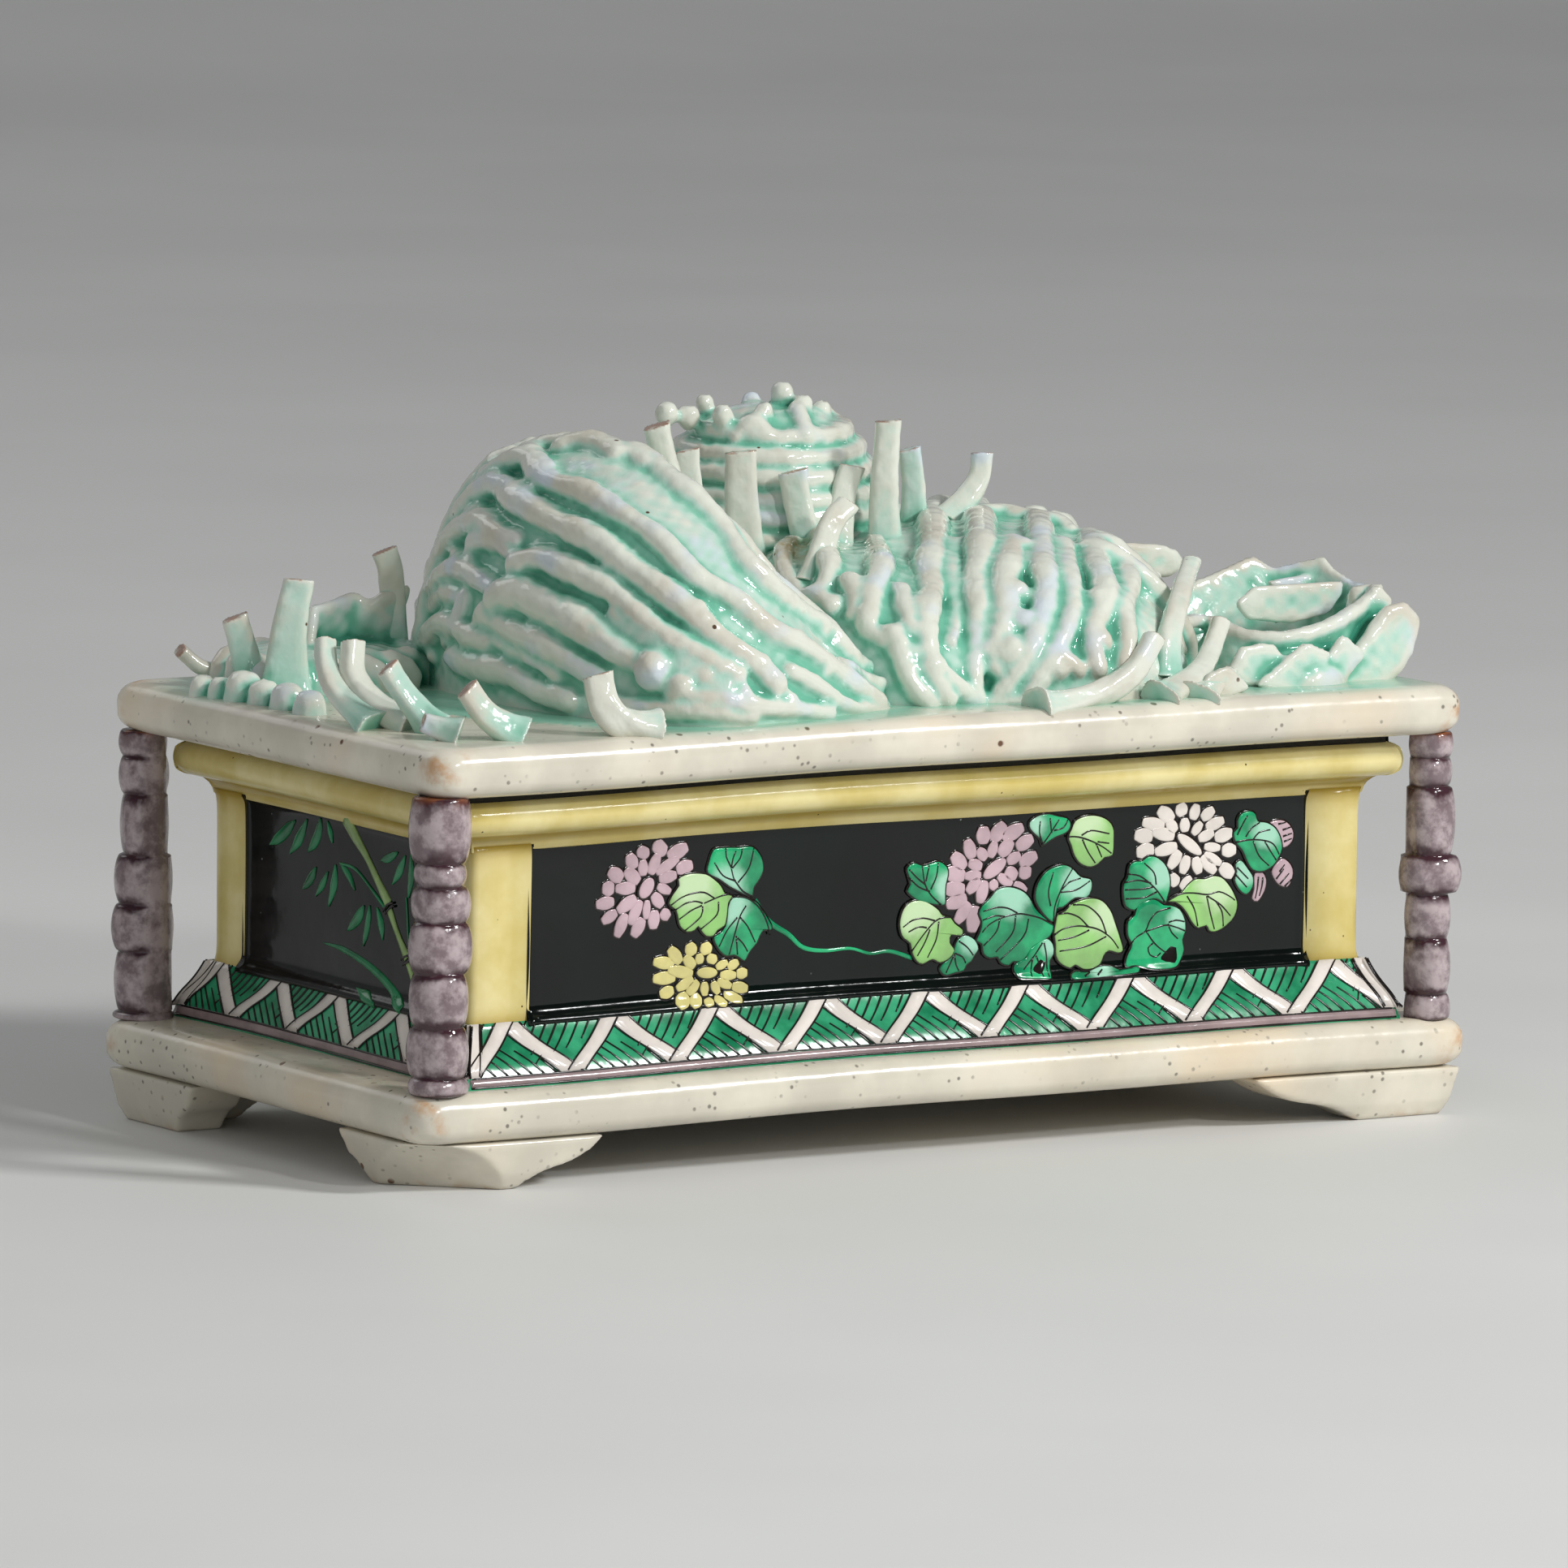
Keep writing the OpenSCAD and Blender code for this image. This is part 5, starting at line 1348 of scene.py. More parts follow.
     940, 500], [[892, 440, 950, 425, 1010, 420, 1090, 425, 1150, 450, 1188, 518], [1010, 420, 1050, 370,
     1128, 350], [1010, 430, 1050, 530, 1118, 598], [1090, 430, 1130, 500, 1168, 558], [960, 400, 1000, 340,
     1056, 302], [902, 388, 940, 310, 972, 252]], (1100, 370), 110),
]
# Buds: outline and stripes, in the right group's view
BUDS = [
    ([1130, 304, 1210, 280, 1270, 310, 1300, 370, 1290, 430, 1250, 470, 1212, 470, 1190, 380], [[1190, 312,
     1242, 300], [1220, 352, 1280, 330], [1222, 396, 1284, 374], [1228, 432, 1282, 410]]),
    ([1142, 640, 1190, 562, 1230, 546, 1280, 590, 1295, 650, 1270, 730, 1236, 750, 1180, 722], [[1174, 690,
     1226, 620], [1200, 724, 1262, 650], [1232, 740, 1280, 690], [1196, 640, 1232, 590]]),
    ([1020, 700, 1030, 650, 1080, 640, 1110, 690, 1100, 770, 1050, 850, 1008, 830, 1022, 760], [[1052, 676,
     1044, 760, 1030, 826], [1082, 680, 1076, 740, 1058, 808]]),
]
SPRAY_STEM = [930, 1112, 948, 1138, 972, 1154, 990, 1170, 1016, 1174, 1048, 1171, 1072, 1177, 1096, 1174,
              1124, 1182]
# Bamboo: the stem's lengths as centres and widths, then blades as points and width
CANES = [
    [(822, 170, 105), (880, 290, 76), (960, 430, 56), (1040, 600, 56), (1112, 752, 84)],
    [(1116, 786, 62), (1160, 920, 42), (1200, 1030, 52), (1236, 1120, 66)],
    [(1240, 1150, 50), (1290, 1300, 50), (1316, 1390, 60)],
]
CANE_RINGS = [
    [1078, 802, 1106, 756, 1148, 738],
    [1096, 816, 1126, 774, 1156, 762],
    [1200, 1132, 1226, 1110, 1252, 1100],
    [1210, 1166, 1240, 1150, 1266, 1138],
]
BLADES = [
    ([474, 186, 392, 276, 300, 352], 88),
    ([556, 176, 504, 300, 434, 416], 78),
    ([650, 168, 620, 300, 560, 402], 84),
    ([694, 186, 710, 260, 727, 338], 48),
    ([614, 506, 580, 580, 523, 657], 70),
    ([696, 536, 660, 620, 613, 707], 54),
    ([748, 486, 736, 630, 703, 774], 74),
    ([786, 486, 838, 560, 882, 660], 54),
    ([944, 764, 902, 850, 833, 938], 80),
    ([982, 762, 966, 900, 938, 1044], 60),
    ([1032, 776, 1056, 880, 1070, 1000], 64),
    ([1172, 392, 1112, 432, 1053, 452], 58),
    ([1226, 414, 1190, 510, 1138, 614], 64),
    ([1264, 404, 1268, 540, 1248, 704], 68),
]
GRASS = [
    ([664, 1025, 800, 1070, 960, 1170, 1100, 1300, 1236, 1478], 58, (0.1, 0.7, 0.9, 1.0, 1.3)),
    ([900, 1330, 980, 1384, 1050, 1456], 58, (0.1, 1.1, 0.9)),
    ([780, 476, 880, 512, 980, 630, 1086, 776], 20, (0.8, 1.0, 1.1)),
    ([1234, 700, 1240, 830, 1246, 1050], 10, (1.0, 1.0, 1.0)),
]


class BRUSHREST_OT_painting(Operator):
    """Paint the zigzag band, the flower sprays and the bamboo in raised enamel"""

    bl_idname = "brushrest.painting"
    bl_label = "Painting"

    def execute(self, context):
        for side in SIDES:
            self.band(side)
        for side in ("front", "back"):
            self.sprays(side)
        for side in ("left", "right"):
            self.bamboo(side)
        return {"FINISHED"}

    def put(self, shells, side, name, kind, slot, pale=None):
        if not shells:
            raise RuntimeError("nothing to paint for " + name)
        points, faces = join(shells)
        mesh = shell_mesh([(turn(points, SIDES[side]), faces)])
        if pale is not None:
            set_values(mesh, "pale", np.concatenate(pale))
        place(mesh, name + "_" + side, slot, kind="enamel_" + kind)

    def band(self, side):
        """Off-white straps with dark edges in a zigzag, hatching between them, a plum line below."""
        on = partial(skirt_point, side)
        half, mate = wall_half(side), skirt_mate(side)
        pitch, count = (16.6, 9) if is_long(side) else (15.3, 5)
        low, high = 1.45, slope_length(side) - 0.1
        rows, lean = high - low, 0.47 * pitch
        straps, lines, hatches = [], [], []

        def clipped(u, w):
            """Keeps the painting on the skirt, which narrows as it rises."""
            reach = half + mate * (1 - w / slope_length(side)) * 0.92 - 0.3
            return min(max(u, -reach), reach), w

        def draw(bucket, points, *args):
            points = [clipped(*p) for p in points]
            if math.dist(points[0], points[-1]) > 0.6:
                bucket.append(stroke(points, *args))

        def hatch(u, start, stop, height):
            """A short leaning line between the straps."""
            draw(hatches, [(u, start), (u - height * lean / rows * 0.9, stop)], 0.30, 0.03, on, (1.2, 0.8))

        for i in range(-1, count + 1):
            crest = (i - (count - 1) / 2) * pitch + 0.35 * math.sin(2.3 * i)
            left, right = crest - lean, crest + pitch - lean
            falling = clipped(crest + 0.4, high), clipped(right - 0.9, low)
            rising = clipped(left - 0.3, low + 0.2), clipped(crest - 0.2, high + 0.1)
            self.strap(*falling, on, straps, lines, 0.0, 1.3)
            self.strap(*rising, on, straps, lines, 0.05, 1.0)
            for k in range(1, 7):
                share = k / 7.2
                u = left + 1.9 + 0.1 * k + (right - left - 3.6) * share
                rise = rows * min(1.0, 2.05 * (1 - share)) * 0.82 * min(1.0, 0.25 + 1.3 * share)
                hatch(u, low, low + rise, rise)
            for k in range(1, 8):
                share = k / 8.0
                u = crest + 1.6 + (pitch - 3.0) * share
                drop = rows * min(1.0, 1.9 * share) * 0.86 * min(1.0, 0.2 + 1.6 * (1 - share))
                hatch(u, high + 0.1, high - drop, drop)
        ends = half + mate - 0.6
        for w in (0.25, 1.4):
            draw(lines, [(-ends, w), (-ends / 3, w + 0.06), (ends / 3, w - 0.05), (ends, w)], 0.26, 0.06, on)
        plum = [stroke([(-ends, 0.8), (0, 0.84), (ends, 0.8)], 1.1, 0.01, on)]
        self.put(straps, side, "band_straps", "white", "green_band_glaze")
        self.put(lines + hatches, side, "band_lines", "line", "green_band_glaze")
        self.put(plum, side, "band_foot", "plum_line", "green_band_glaze")

    def strap(self, a, b, on, straps, lines, lift, half):
        """One strap between two places, with a dark line along each edge."""
        a, b = np.array(a, float), np.array(b, float)
        if abs(b[0] - a[0]) < 2.0:
            return
        along = (b - a) / np.linalg.norm(b - a)
        reach = half / abs(along[1])
        rows = []
        t = np.linspace(0, 1, 9)
        for share_along in t:
            p = a + (b - a) * share_along
            for share, up in ((-1.0, -0.1), (-0.85, 0.12), (0, 0.15), (0.85, 0.12), (1.0, -0.1)):
                rows.append(on(p[0] + share * reach, p[1], up + lift))
        faces = rod_faces(9, 5)
        if b[1] > a[1]:
            faces = flipped(faces)
        straps.append((np.array(rows), faces))
        for share in (-1.0, 1.0):
            shift = np.array([share * reach, 0])
            lines.append(stroke([a + shift, (a + b) / 2 + shift, b + shift], 0.30, 0.08 + lift, on))

    def sprays(self, side):
        """Chrysanthemums with leaves and buds, with a thin running stem."""
        on = partial(panel_point, side)
        shells, pales = {}, {}

        def add(kind, shell, pale=0.0):
            shells.setdefault(kind, []).append(shell)
            pales.setdefault(kind, []).append(np.broadcast_to(pale, (len(shell[0]),)))

        def cell(kind, outline, lift, centre=None, reach=1.0):
            add("line", patch(grow(outline, 0.16), lift - 0.09, on, 0.12))
            shell = patch(grow(outline, -0.10), lift, on, 0.14)
            pale = 0.0
            if centre is not None:
                away = shell[0][:, ::2] - centre
                pale = np.clip(1.25 - np.hypot(*away.T) / reach, 0, 1)
            add(kind, shell, pale)

        stem = np.array([seen_on_wall("front", *p) for p in np.reshape(SPRAY_STEM, (-1, 2))])
        add("leaf", stroke(stem, 0.8, 0.02, on, (1.4, 0.8, 0.6, 0.8)))
        for view, kind, heart, inner, outer in FLOWERS:
            drawing = Drawing(*VIEWS[view])
            for petals, lift in ((outer, 0.04), (inner, 0.10)):
                for *places, width in np.reshape(petals, (-1, 5)):
                    ends = drawing.lay(places)
                    outline = petal_outline(*ends, drawing.size(width) * 1.26)
                    cell(kind, rounded(outline, 1.0), lift, ends[1], 2.0)
            ends = drawing.lay(heart[:4])
            cell(kind, oval(*ends, drawing.size(heart[4])), 0.16)
        for k, (view, kind, outline, veins, pale, reach) in enumerate(LEAVES):
            drawing = Drawing(*VIEWS[view])
            lift = 0.20 + 0.04 * (k % 5)
            centre = drawing.lay([pale])[0]
            cell(kind, rounded(drawing.lay(outline)), lift, centre, drawing.size(reach) * 1.3)
            for vein in veins:
                add("line", stroke(drawing.lay(vein), 0.30, lift + 0.13, on, (1.0, 0.8), 0.05))
        drawing = Drawing(*VIEWS["right_group"])
        for outline, stripes in BUDS:
            cell("petal", rounded(drawing.lay(outline)), 0.05)
            for stripe in stripes:
                add("line", stroke(drawing.lay(stripe), 0.34, 0.19, on, (1.0, 0.6), 0.05))
        for kind, made in shells.items():
            self.put(made, side, "spray_" + kind, kind, "black_glaze", pales[kind])

    def bamboo(self, side):
        """A bamboo stem with its leaf tufts and blades of grass."""
        on = partial(panel_point, side)
        drawing = Drawing(*VIEWS["bamboo"])
        canes, leaves, rings = [], [], []
        for cane in CANES:
            widths = [drawing.size(w) * 1.15 for _, _, w in cane]
            canes.append(stroke(drawing.lay([p[:2] for p in cane]), max(widths), 0.06, on,
                                tuple(w / max(widths) for w in widths), 0.18))
        for line, width in BLADES:
            leaves.append(stroke(drawing.lay(line), drawing.size(width) * 1.25, 0.03, on,
                                 (0.15, 0.8, 1.0, 0.75, 0.1), 0.14))
        for line, width, taper in GRASS:
            leaves.append(stroke(drawing.lay(line), drawing.size(width) * 1.2, 0.04, on, taper, 0.14))
        for line in CANE_RINGS:
            rings.append(stroke(drawing.lay(line), 0.34, 0.24, on, (1.0, 1.0), 0.06))
        self.put(canes, side, "bamboo_canes", "bamboo", "black_glaze")
        self.put(leaves, side, "bamboo_leaves", "bamboo_leaf", "black_glaze")
        self.put(rings, side, "bamboo_rings", "line", "black_glaze")


def oval(start, end, width):
    """A closed oval between two ends."""
    start, end = np.array(start, float), np.array(end, float)
    along = (end - start) / 2
    across = np.array([-along[1], along[0]]) / np.linalg.norm(along) * width / 2
    t = np.linspace(0, 2 * math.pi, 20, endpoint=False)
    return (start + end) / 2 + np.cos(t)[:, None] * along + np.sin(t)[:, None] * across


class BRUSHREST_OT_columns(Operator):
    """Build the four knobbly columns"""

    bl_idname = "brushrest.columns"
    bl_label = "Columns"

    # Pinches up each column as shares of its height, and the radius of each bulge
    SHAPES = {
        "front_left": ((0, 0.06, 0.23, 0.41, 0.58, 0.7, 0.78, 1), (3.9, 4.1, 4.2, 4.2, 3.9, 3.7, 4.1)),
        "front_right": ((0, 0.09, 0.28, 0.44, 0.57, 0.81, 0.91, 1), (3.2, 3.5, 3.4, 4.3, 3.6, 3.2, 3.1)),
        "back_left": ((0, 0.03, 0.24, 0.4, 0.57, 0.78, 0.91, 1), (4, 4.2, 4.3, 4.1, 3.6, 3.4, 3.3)),
        "back_right": ((0, 0.08, 0.25, 0.43, 0.6, 0.76, 0.9, 1), (3.6, 4, 4.2, 3.9, 4, 3.7, 3.4)),
    }

    def execute(self, context):
        for k, corner in enumerate(CORNERS):
            self.column(corner, k)
        return {"FINISHED"}

    def column(self, corner, k):
        sx, sy = CORNERS[corner]
        low, high = node_box("column_" + corner)
        cx, cy = (low[0] + high[0]) / 2, (low[1] + high[1]) / 2
        cuts, bulges = self.SHAPES[corner]
        rows, sides = 170, 48
        angle = np.linspace(0, 2 * math.pi, sides, endpoint=False)
        inward = math.atan2(-sy, -sx * 0.4)
        facing = np.cos(angle - inward)
        rings, grooves, tops = [], [], []
        for i in range(rows):
            share = i / (rows - 1)
            j = min(len(bulges) - 1, max(0, int(np.searchsorted(cuts, share, side="right")) - 1))
            t = (share - cuts[j]) / (cuts[j + 1] - cuts[j])
            swell = max(0.0, math.sin(math.pi * min(max(t, 0), 1))) ** 0.55
            lobe = 1 + 0.05 * np.cos(angle * 2 + j * 2.1 + k) + 0.04 * np.cos(angle * 3 - j * 1.3)
            strip = np.clip((facing - 0.55) / 0.3, 0, 1)
            depth = (0.80 + 0.20 * swell) * (1 - strip) + 0.90 * strip
            radius = bulges[j] * depth * (1 + (lobe - 1) * (1 - strip))
            foot = 0.35 * math.exp(-share * COLUMN_TALL / 0.9) + 0.2 * math.exp(-(1 - share) * COLUMN_TALL / 0.7)
            radius = radius + foot
            z = FLOOR_Z - 0.2 + (DECK_Z - FLOOR_Z + 0.4) * share
            rings.append(row(cx + radius * np.cos(angle), cy + radius * np.sin(angle), z))
            grooves.append((1 - swell) * (1 - 0.6 * strip))
            tops.append(np.full(sides, math.exp(-(1 - share) * COLUMN_TALL / 0.5)))
        mesh = shell_mesh([(np.vstack(rings), rod_faces(rows, sides))])
        set_values(mesh, "hollow", np.concatenate(grooves))
        set_values(mesh, "wear", np.concatenate(tops))
        name = "column_" + corner
        place(mesh, name + "_glazed", "aubergine_glaze", [name])


def left_shells():
    r = bpy.context.scene.clay.ridge
    body = [dome_body("left", 1.9)]
    shells = body + traced(body_tree(body), PEAK_VIEW, LEFT_RIDGES, LEFT_LUMPS, (520, 620))
    for up in (9, 22, 35, 48, 60):
        around = [(126, up * 0.7), (146, up + 2), (164, up + 7), (184, up + 5)]
        shells.append(ridge("left", around, r * 0.95, seed=up))
    return shells + fan("left", 18, 120, 8, r) + fan("left", -58, 0, 6, r * 0.9, (60, 42, 24, 6))


def middle_shells():
    body = [dome_body("middle", 0.9)]
    shells = list(body)
    for elevation in (11, 17, 21.5, 27.5, 32, 38, 43, 49.5, 56.5, 65):
        azimuth = np.arange(0, 372, 12.0)
        up = elevation + 1.1 * np.sin(np.radians(azimuth + 25)) + 0.8 * np.sin(np.radians(2 * azimuth + 70))
        radius = 1.3 * (1 + 0.10 * np.sin(azimuth / 17.0 + elevation))
        shells.append(tube(dome_point("middle", azimuth, up, 0.75), radius))
    crest = [([(868, 190), (905, 158), (940, 188)], (1.1, 1.6, 1.1)), ([(1020, 124), (1040, 190)], (1.1, 1.4))]
    shells += traced(body_tree(body), PEAK_VIEW, crest, [], (950, 260))
    return shells + [ball(p[:3], p[3] * 0.92, (1, 1, 1.15)) for p in CROWN]


def lobes(view, items):
    """Flat lobes of clay, each wrapped round its corners and given a sloping back."""
    shells = []
    for corners, depth, radius in items:
        points = [seen_at(view, x, y, depth) for x, y in np.reshape(corners, (-1, 2))]
        middle = np.mean(points, axis=0)
        balls = [(*p, radius) for p in points]
        balls += [(*(middle + (p - middle) * 0.6 + (0.5, 2.6, -0.8)), radius) for p in points]
        shells.append(wrap(balls))
    return shells


def right_shells():
    r = bpy.context.scene.clay.ridge
    body = [dome_body("right", 1.7), dome_body("saddle", 1.2)]
    tree = body_tree(body)
    shells = body + traced(tree, ROCK_VIEW, RIGHT_RIDGES, RIGHT_LUMPS, (250, 480), 1.3)
    shells += traced(tree, PEAK_VIEW, SADDLE_RIDGES, [], (1240, 650), 2.1)
    shells += fan("right", 0, 112, 9, r) + fan("right", -60, -20, 4, r * 0.9, (58, 40, 22, 5))
    return shells + lobes(ROCK_VIEW, RIGHT_LOBES)


def coil_shells():
    shells = [dome_body("coil", 5.2)]
    band = smooth_path([seen_at(ROCK_VIEW, *p) for p in COIL_BAND], 0.7)
    shells.append(tube(band, np.interp(np.linspace(0, 1, len(band)), (0, 0.5, 1), (1.3, 1.25, 1.1))))
    foot = [(p[0] - 0.5, p[1] + 1.5, 62.5, 2.2) for p in band[::4]]
    for a, b, c, d in zip(band[::4], band[4::4], foot, foot[1:]):
        shells.append(wrap([(*a, 0.8), (*b, 0.8), c, d]))
    inner = smooth_path([seen_at(ROCK_VIEW, *p) for p in COIL_RING], 0.7)
    shells.append(tube(inner, 1.1))
    rim = [seen_at(ROCK_VIEW, *p) for p in COIL_RIM]
    for a, b in zip(rim, rim[1:]):
        feet = [(p[0] - 2, p[1] - 1.5, 63, 1.6) for p in (a, b)]
        shells.append(wrap([(*a, 0.7), (*b, 0.7), *feet]))
    return shells + lobes(ROCK_VIEW, COIL_LOBES)


def ledge_shells():
    shells = [dome_body("ledge", 1.2)]
    crest = [(-64, 22, 66), (-62, 24, 70.4), (-58.5, 25, 70.6), (-54.6, 26, 71.6),
             (-52.6, 25, 70.2), (-51, 24, 71.6), (-47.6, 24, 72.4)]
    for a, b in zip(crest, crest[1:]):
        shells.append(wrap([(*a, 0.9), (*b, 0.9), (a[0], a[1] + 3, 62, 2.2)]))
    for azimuth in range(0, 351, 25):
        shells.append(ridge("ledge", [(azimuth, 50), (azimuth + 8, 25), (azimuth + 12, 5)], 1.5, azimuth))
    return shells


def stone_shells():
    shells = []
    for x, y, z, radius in STONES:
        shells.append(wrap([(x, y, z, radius), (x, y, z - radius, radius * 1.15)]))
    return shells


def strip_shells(strip):
    """A flattened strip of clay with a flared cut tip and a spread root."""
    points, root, tip, thick, facing = strip[1:]
    path = smooth_path(points, 0.5)
    s = np.linspace(0, 1, len(path)) * 0.5 * len(path)
    t = np.linspace(0, 1, len(path))
    width = root + (tip * 0.94 - root) * t ** 0.7 + 0.35 * np.exp(-(s[-1] - s) / 1.3) + 1.8 * np.exp(-s / 1.6)
    deep = thick * (1.05 - 0.2 * t) + 0.12 * np.exp(-(s[-1] - s) / 1.2) + 2.2 * np.exp(-s / 1.6)
    a = math.radians(facing)
    across = np.array([math.cos(a), math.sin(a), 0.05])
    along = headings(path)
    angles = np.linspace(0, 2 * math.pi, 20, endpoint=False)
    rings = []
    for i, (centre, direction) in enumerate(zip(path, along)):
        u = across - direction * (across @ direction)
        u /= np.linalg.norm(u)
        v = np.cross(direction, u)
        c, q = np.cos(angles), np.sin(angles)
        power = 2 / 3.0
        ring = (0.5 * width[i] * np.sign(c) * np.abs(c) ** power)[:, None] * u
        ring = ring + (0.5 * deep[i] * np.sign(q) * np.abs(q) ** power)[:, None] * v
        rings.append(centre + ring)
    rings[-1] = rings[-1] + along[-1] * 0.25 * np.cos(angles)[:, None]
    return [(np.vstack(rings), rod_faces(len(rings), len(angles)))]


MASSES = [
    ("peak_left", left_shells), ("peak_middle", middle_shells), ("rock_right", right_shells),
    ("peak_right", coil_shells), ("ledge_left", ledge_shells), ("stone_row", stone_shells),
]


def hidden_values(mesh, trees, reach=6.0):
    """How much of what each point faces is hidden by clay close to it."""
    points, normals = get_points(mesh), get_normals(mesh)
    directions = []
    for i in range(9):
        angle, lean = i * 2.4, 0.3 + 0.6 * ((i * 0.618) % 1)
        directions.append(Vector((lean * math.cos(angle), lean * math.sin(angle), math.sqrt(1 - lean * lean))))
    hidden = np.zeros(len(points))
    step = 1
    for i in range(0, len(points), step):
        normal = Vector(normals[i])
        start = Vector(points[i]) + normal * 0.12
        turn_to = Vector((0, 0, 1)).rotation_difference(normal)
        hits = 0.0
        for direction in directions:
            ray = turn_to @ direction
            for tree in trees:
                hit = tree.ray_cast(start, ray, reach)
                if hit[3] is not None:
                    hits += 1 - hit[3] / reach
                    break
        hidden[i:i + step] = hits / len(directions)
    return spread(mesh, hidden, 6)


def hollow_values(mesh, trees):
    """How deep each point lies in a groove: 0 on a ridge and 1 in most hollows."""
    near, far = np.clip(sunk(mesh, 14) / 0.12, -1, 1), np.clip(sunk(mesh, 60) / 0.6, -1, 1)
    raw = near * 0.5 + far * 0.7 + hidden_values(mesh, trees) * 2.2
    seen = get_points(mesh)[:, 2] > TOP_Z + 0.5
    low, high = np.percentile(raw[seen], [30, 90])
    return (raw - low) / (high - low)


class BRUSHREST_OT_mountain(Operator):
    """Build the mountain's masses, the stones and the cut strips"""

    bl_idname = "brushrest.mountain"
    bl_label = "Mountain"

    def execute(self, context):
        clay = context.scene.clay
        made = [(name, melt(shells(), clay.skin, clay.melt)) for name, shells in MASSES]
        for _, mesh in made:
            finger(mesh)
        trees = [BVHTree.FromPolygons(get_points(mesh).tolist(), [tuple(p.vertices) for p in mesh.polygons])
                 for _, mesh in made]
        pit = np.array((-1.0, -2.0, 80.0))
        for index, (name, mesh) in enumerate(made):
            nearest_first = [trees[index]] + trees[:index] + trees[index + 1:]
            set_values(mesh, "hollow", hollow_values(mesh, nearest_first))
            points = get_points(mesh)
            set_values(mesh, "stain", np.exp(-(np.linalg.norm(points - pit, axis=1) / 4.5) ** 2))
            place(mesh, name + "_glazed", "celadon_glaze", [name])
        for strip in STRIPS:
            self.strip(strip, trees)
        return {"FINISHED"}

    def strip(self, strip, trees):
        mesh = melt(strip_shells(strip), *STRIP_SKIN)
        finger(mesh, 0.05)
        points = get_points(mesh)
        path = np.array(strip[1], float)
        end = (path[-1] - path[-2]) / np.linalg.norm(path[-1] - path[-2])
        along = (points - path[-1]) @ end
        facing = get_normals(mesh) @ end
        set_values(mesh, "cut", np.clip((facing - 0.3) / 0.4, 0, 1) * (along > -0.9))
        root = np.linalg.norm(points - path[0], axis=1)
        set_values(mesh, "hollow", np.clip(sunk(mesh, 10) / 0.2, -0.4, 0.6) + 0.9 * np.exp(-root / 3.5)
                   + 0.9 * hidden_values(mesh, trees) + 0.1 + 0.25 * math.sin(7 * path[0][0]))
        name = "strip_" + strip[0]
        place(mesh, name + "_glazed", "celadon_glaze", [name])


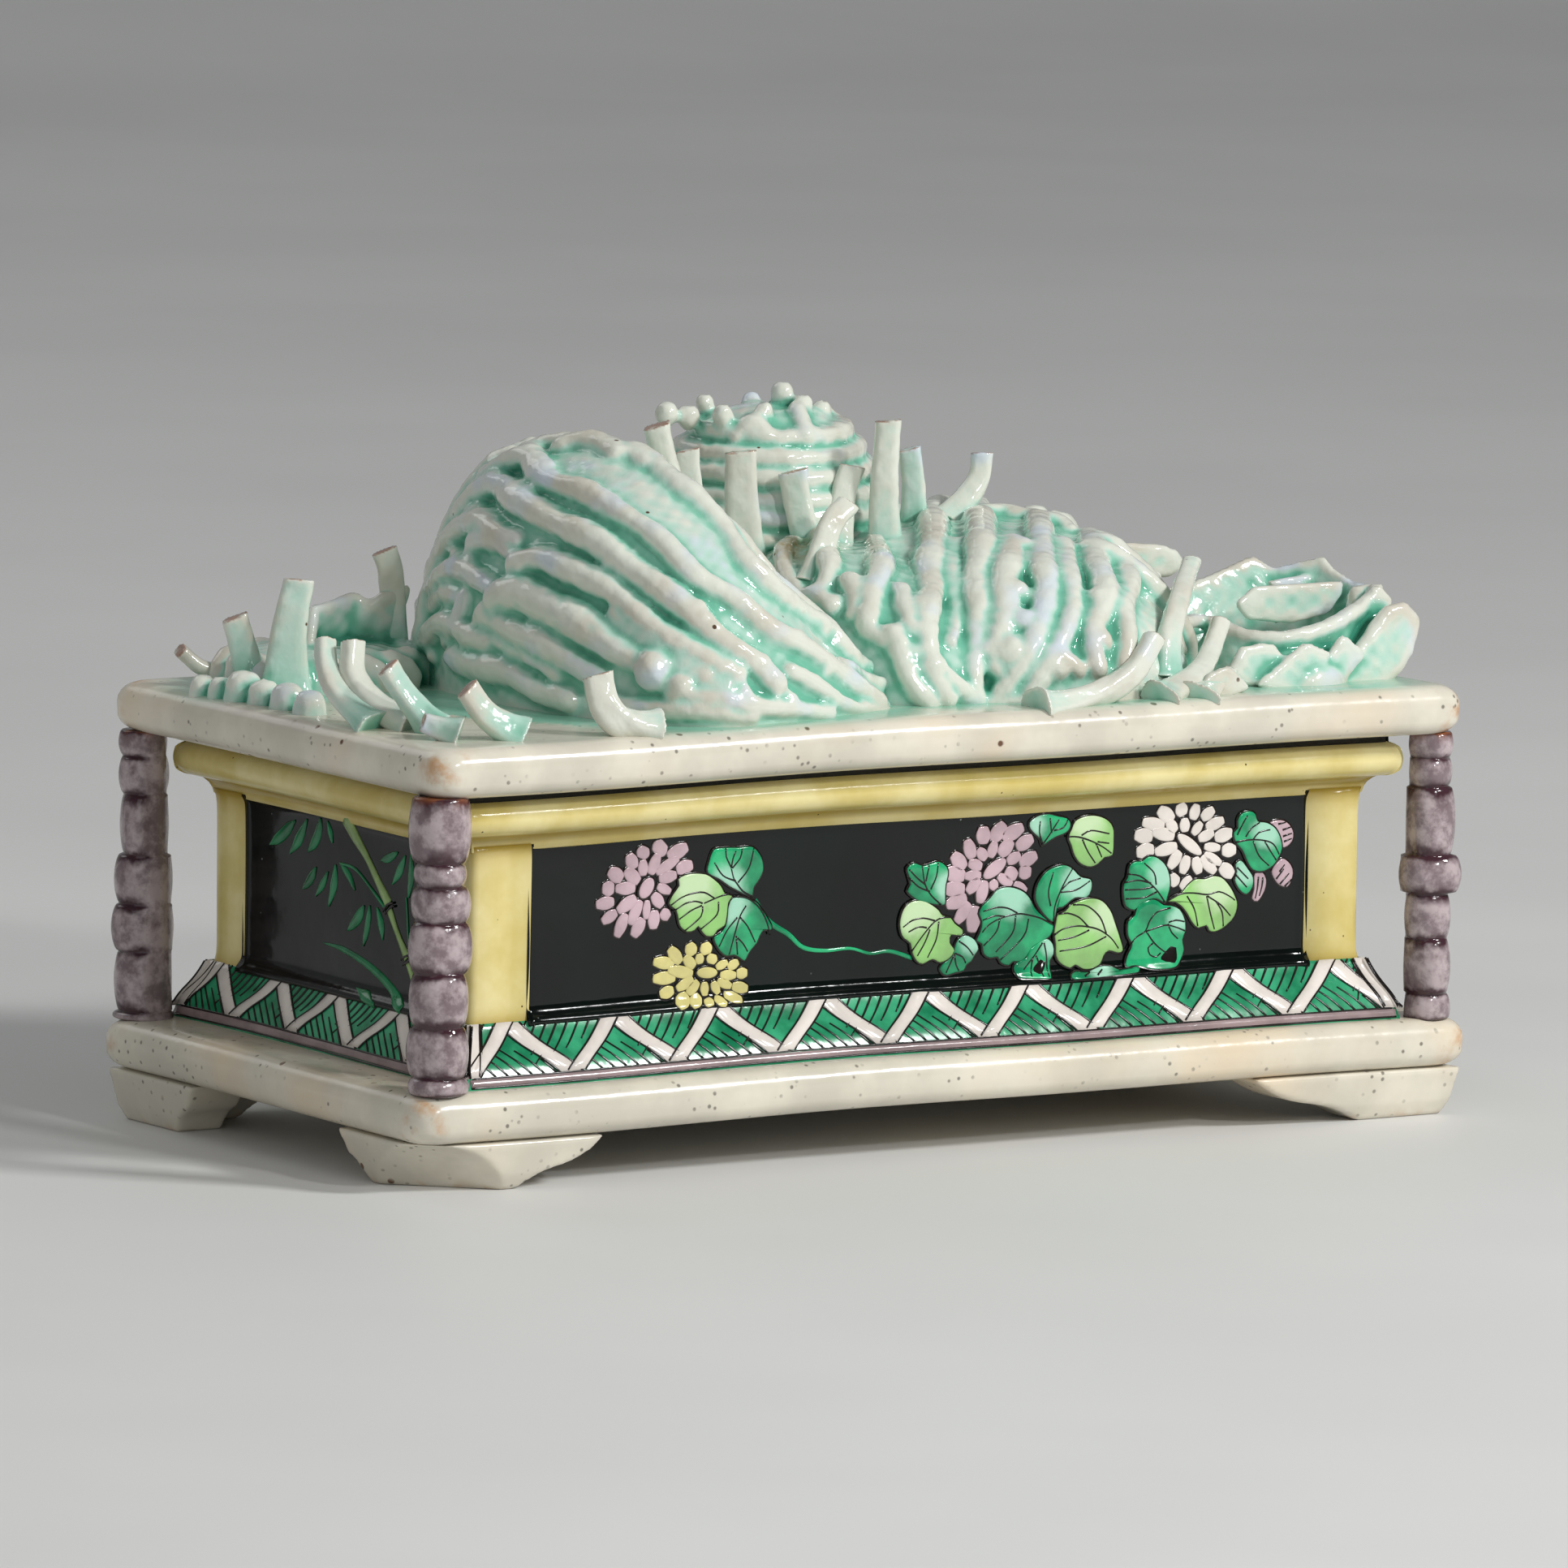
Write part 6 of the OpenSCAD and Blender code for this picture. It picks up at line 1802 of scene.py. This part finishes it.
class BRUSHREST_OT_stage(Operator):
    """Set the floor, the lights and the camera"""

    bl_idname = "brushrest.stage"
    bl_label = "Stage"

    def execute(self, context):
        scene = context.scene
        settings = scene.stage
        self.floor(tuple(settings.floor))
        self.light("key", (0.62, -0.95, 0.85), 0.22, settings.key)
        self.light("fill", (-1.1, -0.9, 0.5), 0.9, settings.fill)
        self.light("rim", (-0.3, 1.0, 0.9), 0.6, settings.fill * 0.8)
        self.light("spark", (0.12, -1.0, 0.55), 0.08, settings.key * 0.25)
        world = bpy.data.worlds.new("studio")
        world.use_nodes = True
        world.node_tree.nodes["Background"].inputs["Color"].default_value = linear((0.93, 0.94, 0.95))
        tree = world.node_tree
        path = tree.nodes.new("ShaderNodeLightPath")
        dim = tree.nodes.new("ShaderNodeMapRange")
        dim.inputs["To Min"].default_value = settings.sky
        dim.inputs["To Max"].default_value = settings.sky * 0.3
        tree.links.new(path.outputs["Is Glossy Ray"], dim.inputs["Value"])
        tree.links.new(dim.outputs["Result"], tree.nodes["Background"].inputs["Strength"])
        scene.world = world
        scene.view_settings.view_transform = "Standard"
        self.camera(scene)
        return {"FINISHED"}

    def floor(self, colour):
        """A floor that turns up into a backdrop."""
        half, depth, rise = 4.0, 2.2, 3.0
        profile = [(-half, 0.0), (depth - 0.8, 0.0)]
        for a in np.linspace(-80, 0, 9):
            profile.append((depth - 0.8 + 0.8 * math.cos(math.radians(a)), 0.8 + 0.8 * math.sin(math.radians(a))))
        profile.append((depth, rise))
        points = [(x, y, z) for y, z in profile for x in (-half, half)]
        faces = [(2 * i, 2 * i + 1, 2 * i + 3, 2 * i + 2) for i in range(len(profile) - 1)]
        mesh = bpy.data.meshes.new("floor")
        mesh.from_pydata(points, [], faces)
        floor = bpy.data.objects.new("floor", mesh)
        bpy.context.scene.collection.objects.link(floor)
        n = Nodes("floor_paint")
        tone = n.mix(n.cloud(6, 3, 0.3, 0.7), shade(colour, 0.985), shade(colour, 1.01))
        mesh.materials.append(n.finish(tone, 0.55))
        mesh.polygons.foreach_set("use_smooth", [True] * len(mesh.polygons))

    def light(self, name, position, size, power):
        """A square lamp that faces the object."""
        lamp = bpy.data.lights.new(name, "AREA")
        lamp.size = size
        lamp.energy = power
        item = bpy.data.objects.new(name, lamp)
        item.location = position
        item.rotation_euler = (Vector((0, 0, 0.05)) - Vector(position)).to_track_quat("-Z", "Y").to_euler()
        bpy.context.scene.collection.objects.link(item)

    def camera(self, scene):
        """The photograph's view: front left, a little above."""
        eye, right, up, back = (Vector(v) for v in camera_axes())
        data = bpy.data.cameras.new("camera")
        data.lens = CAMERA_LENS
        data.sensor_width = SENSOR
        data.clip_start, data.clip_end = 0.05, 30.0
        camera = bpy.data.objects.new("camera", data)
        camera.matrix_world = Matrix.Translation(eye * MM) @ Matrix((right, up, back)).transposed().to_4x4()
        scene.collection.objects.link(camera)
        scene.camera = camera


class BRUSHREST_PT_panel(Panel):
    bl_label = "Brush Rest"
    bl_space_type = "VIEW_3D"
    bl_region_type = "UI"
    bl_category = "Brush Rest"

    def draw(self, context):
        for group in (context.scene.clay, context.scene.glaze, context.scene.stage):
            box = self.layout.box()
            for key in group.__annotations__:
                box.prop(group, key)
        for operator in OPERATORS:
            self.layout.operator(operator.bl_idname)


OPERATORS = (BRUSHREST_OT_stage, BRUSHREST_OT_slabs, BRUSHREST_OT_walls, BRUSHREST_OT_painting,
             BRUSHREST_OT_columns, BRUSHREST_OT_mountain)
GROUPS = (("clay", ClaySettings), ("glaze", GlazeSettings), ("stage", StageSettings))


def register():
    for name, group in GROUPS:
        bpy.utils.register_class(group)
        setattr(bpy.types.Scene, name, PointerProperty(type=group))
    for item in (*OPERATORS, BRUSHREST_PT_panel):
        bpy.utils.register_class(item)


def unregister():
    for item in (BRUSHREST_PT_panel, *reversed(OPERATORS)):
        bpy.utils.unregister_class(item)
    for name, group in reversed(GROUPS):
        delattr(bpy.types.Scene, name)
        bpy.utils.unregister_class(group)


def main():
    register()
    for operator in OPERATORS:
        group, name = operator.bl_idname.split(".")
        getattr(getattr(bpy.ops, group), name)()


if __name__ == "__main__":
    main()
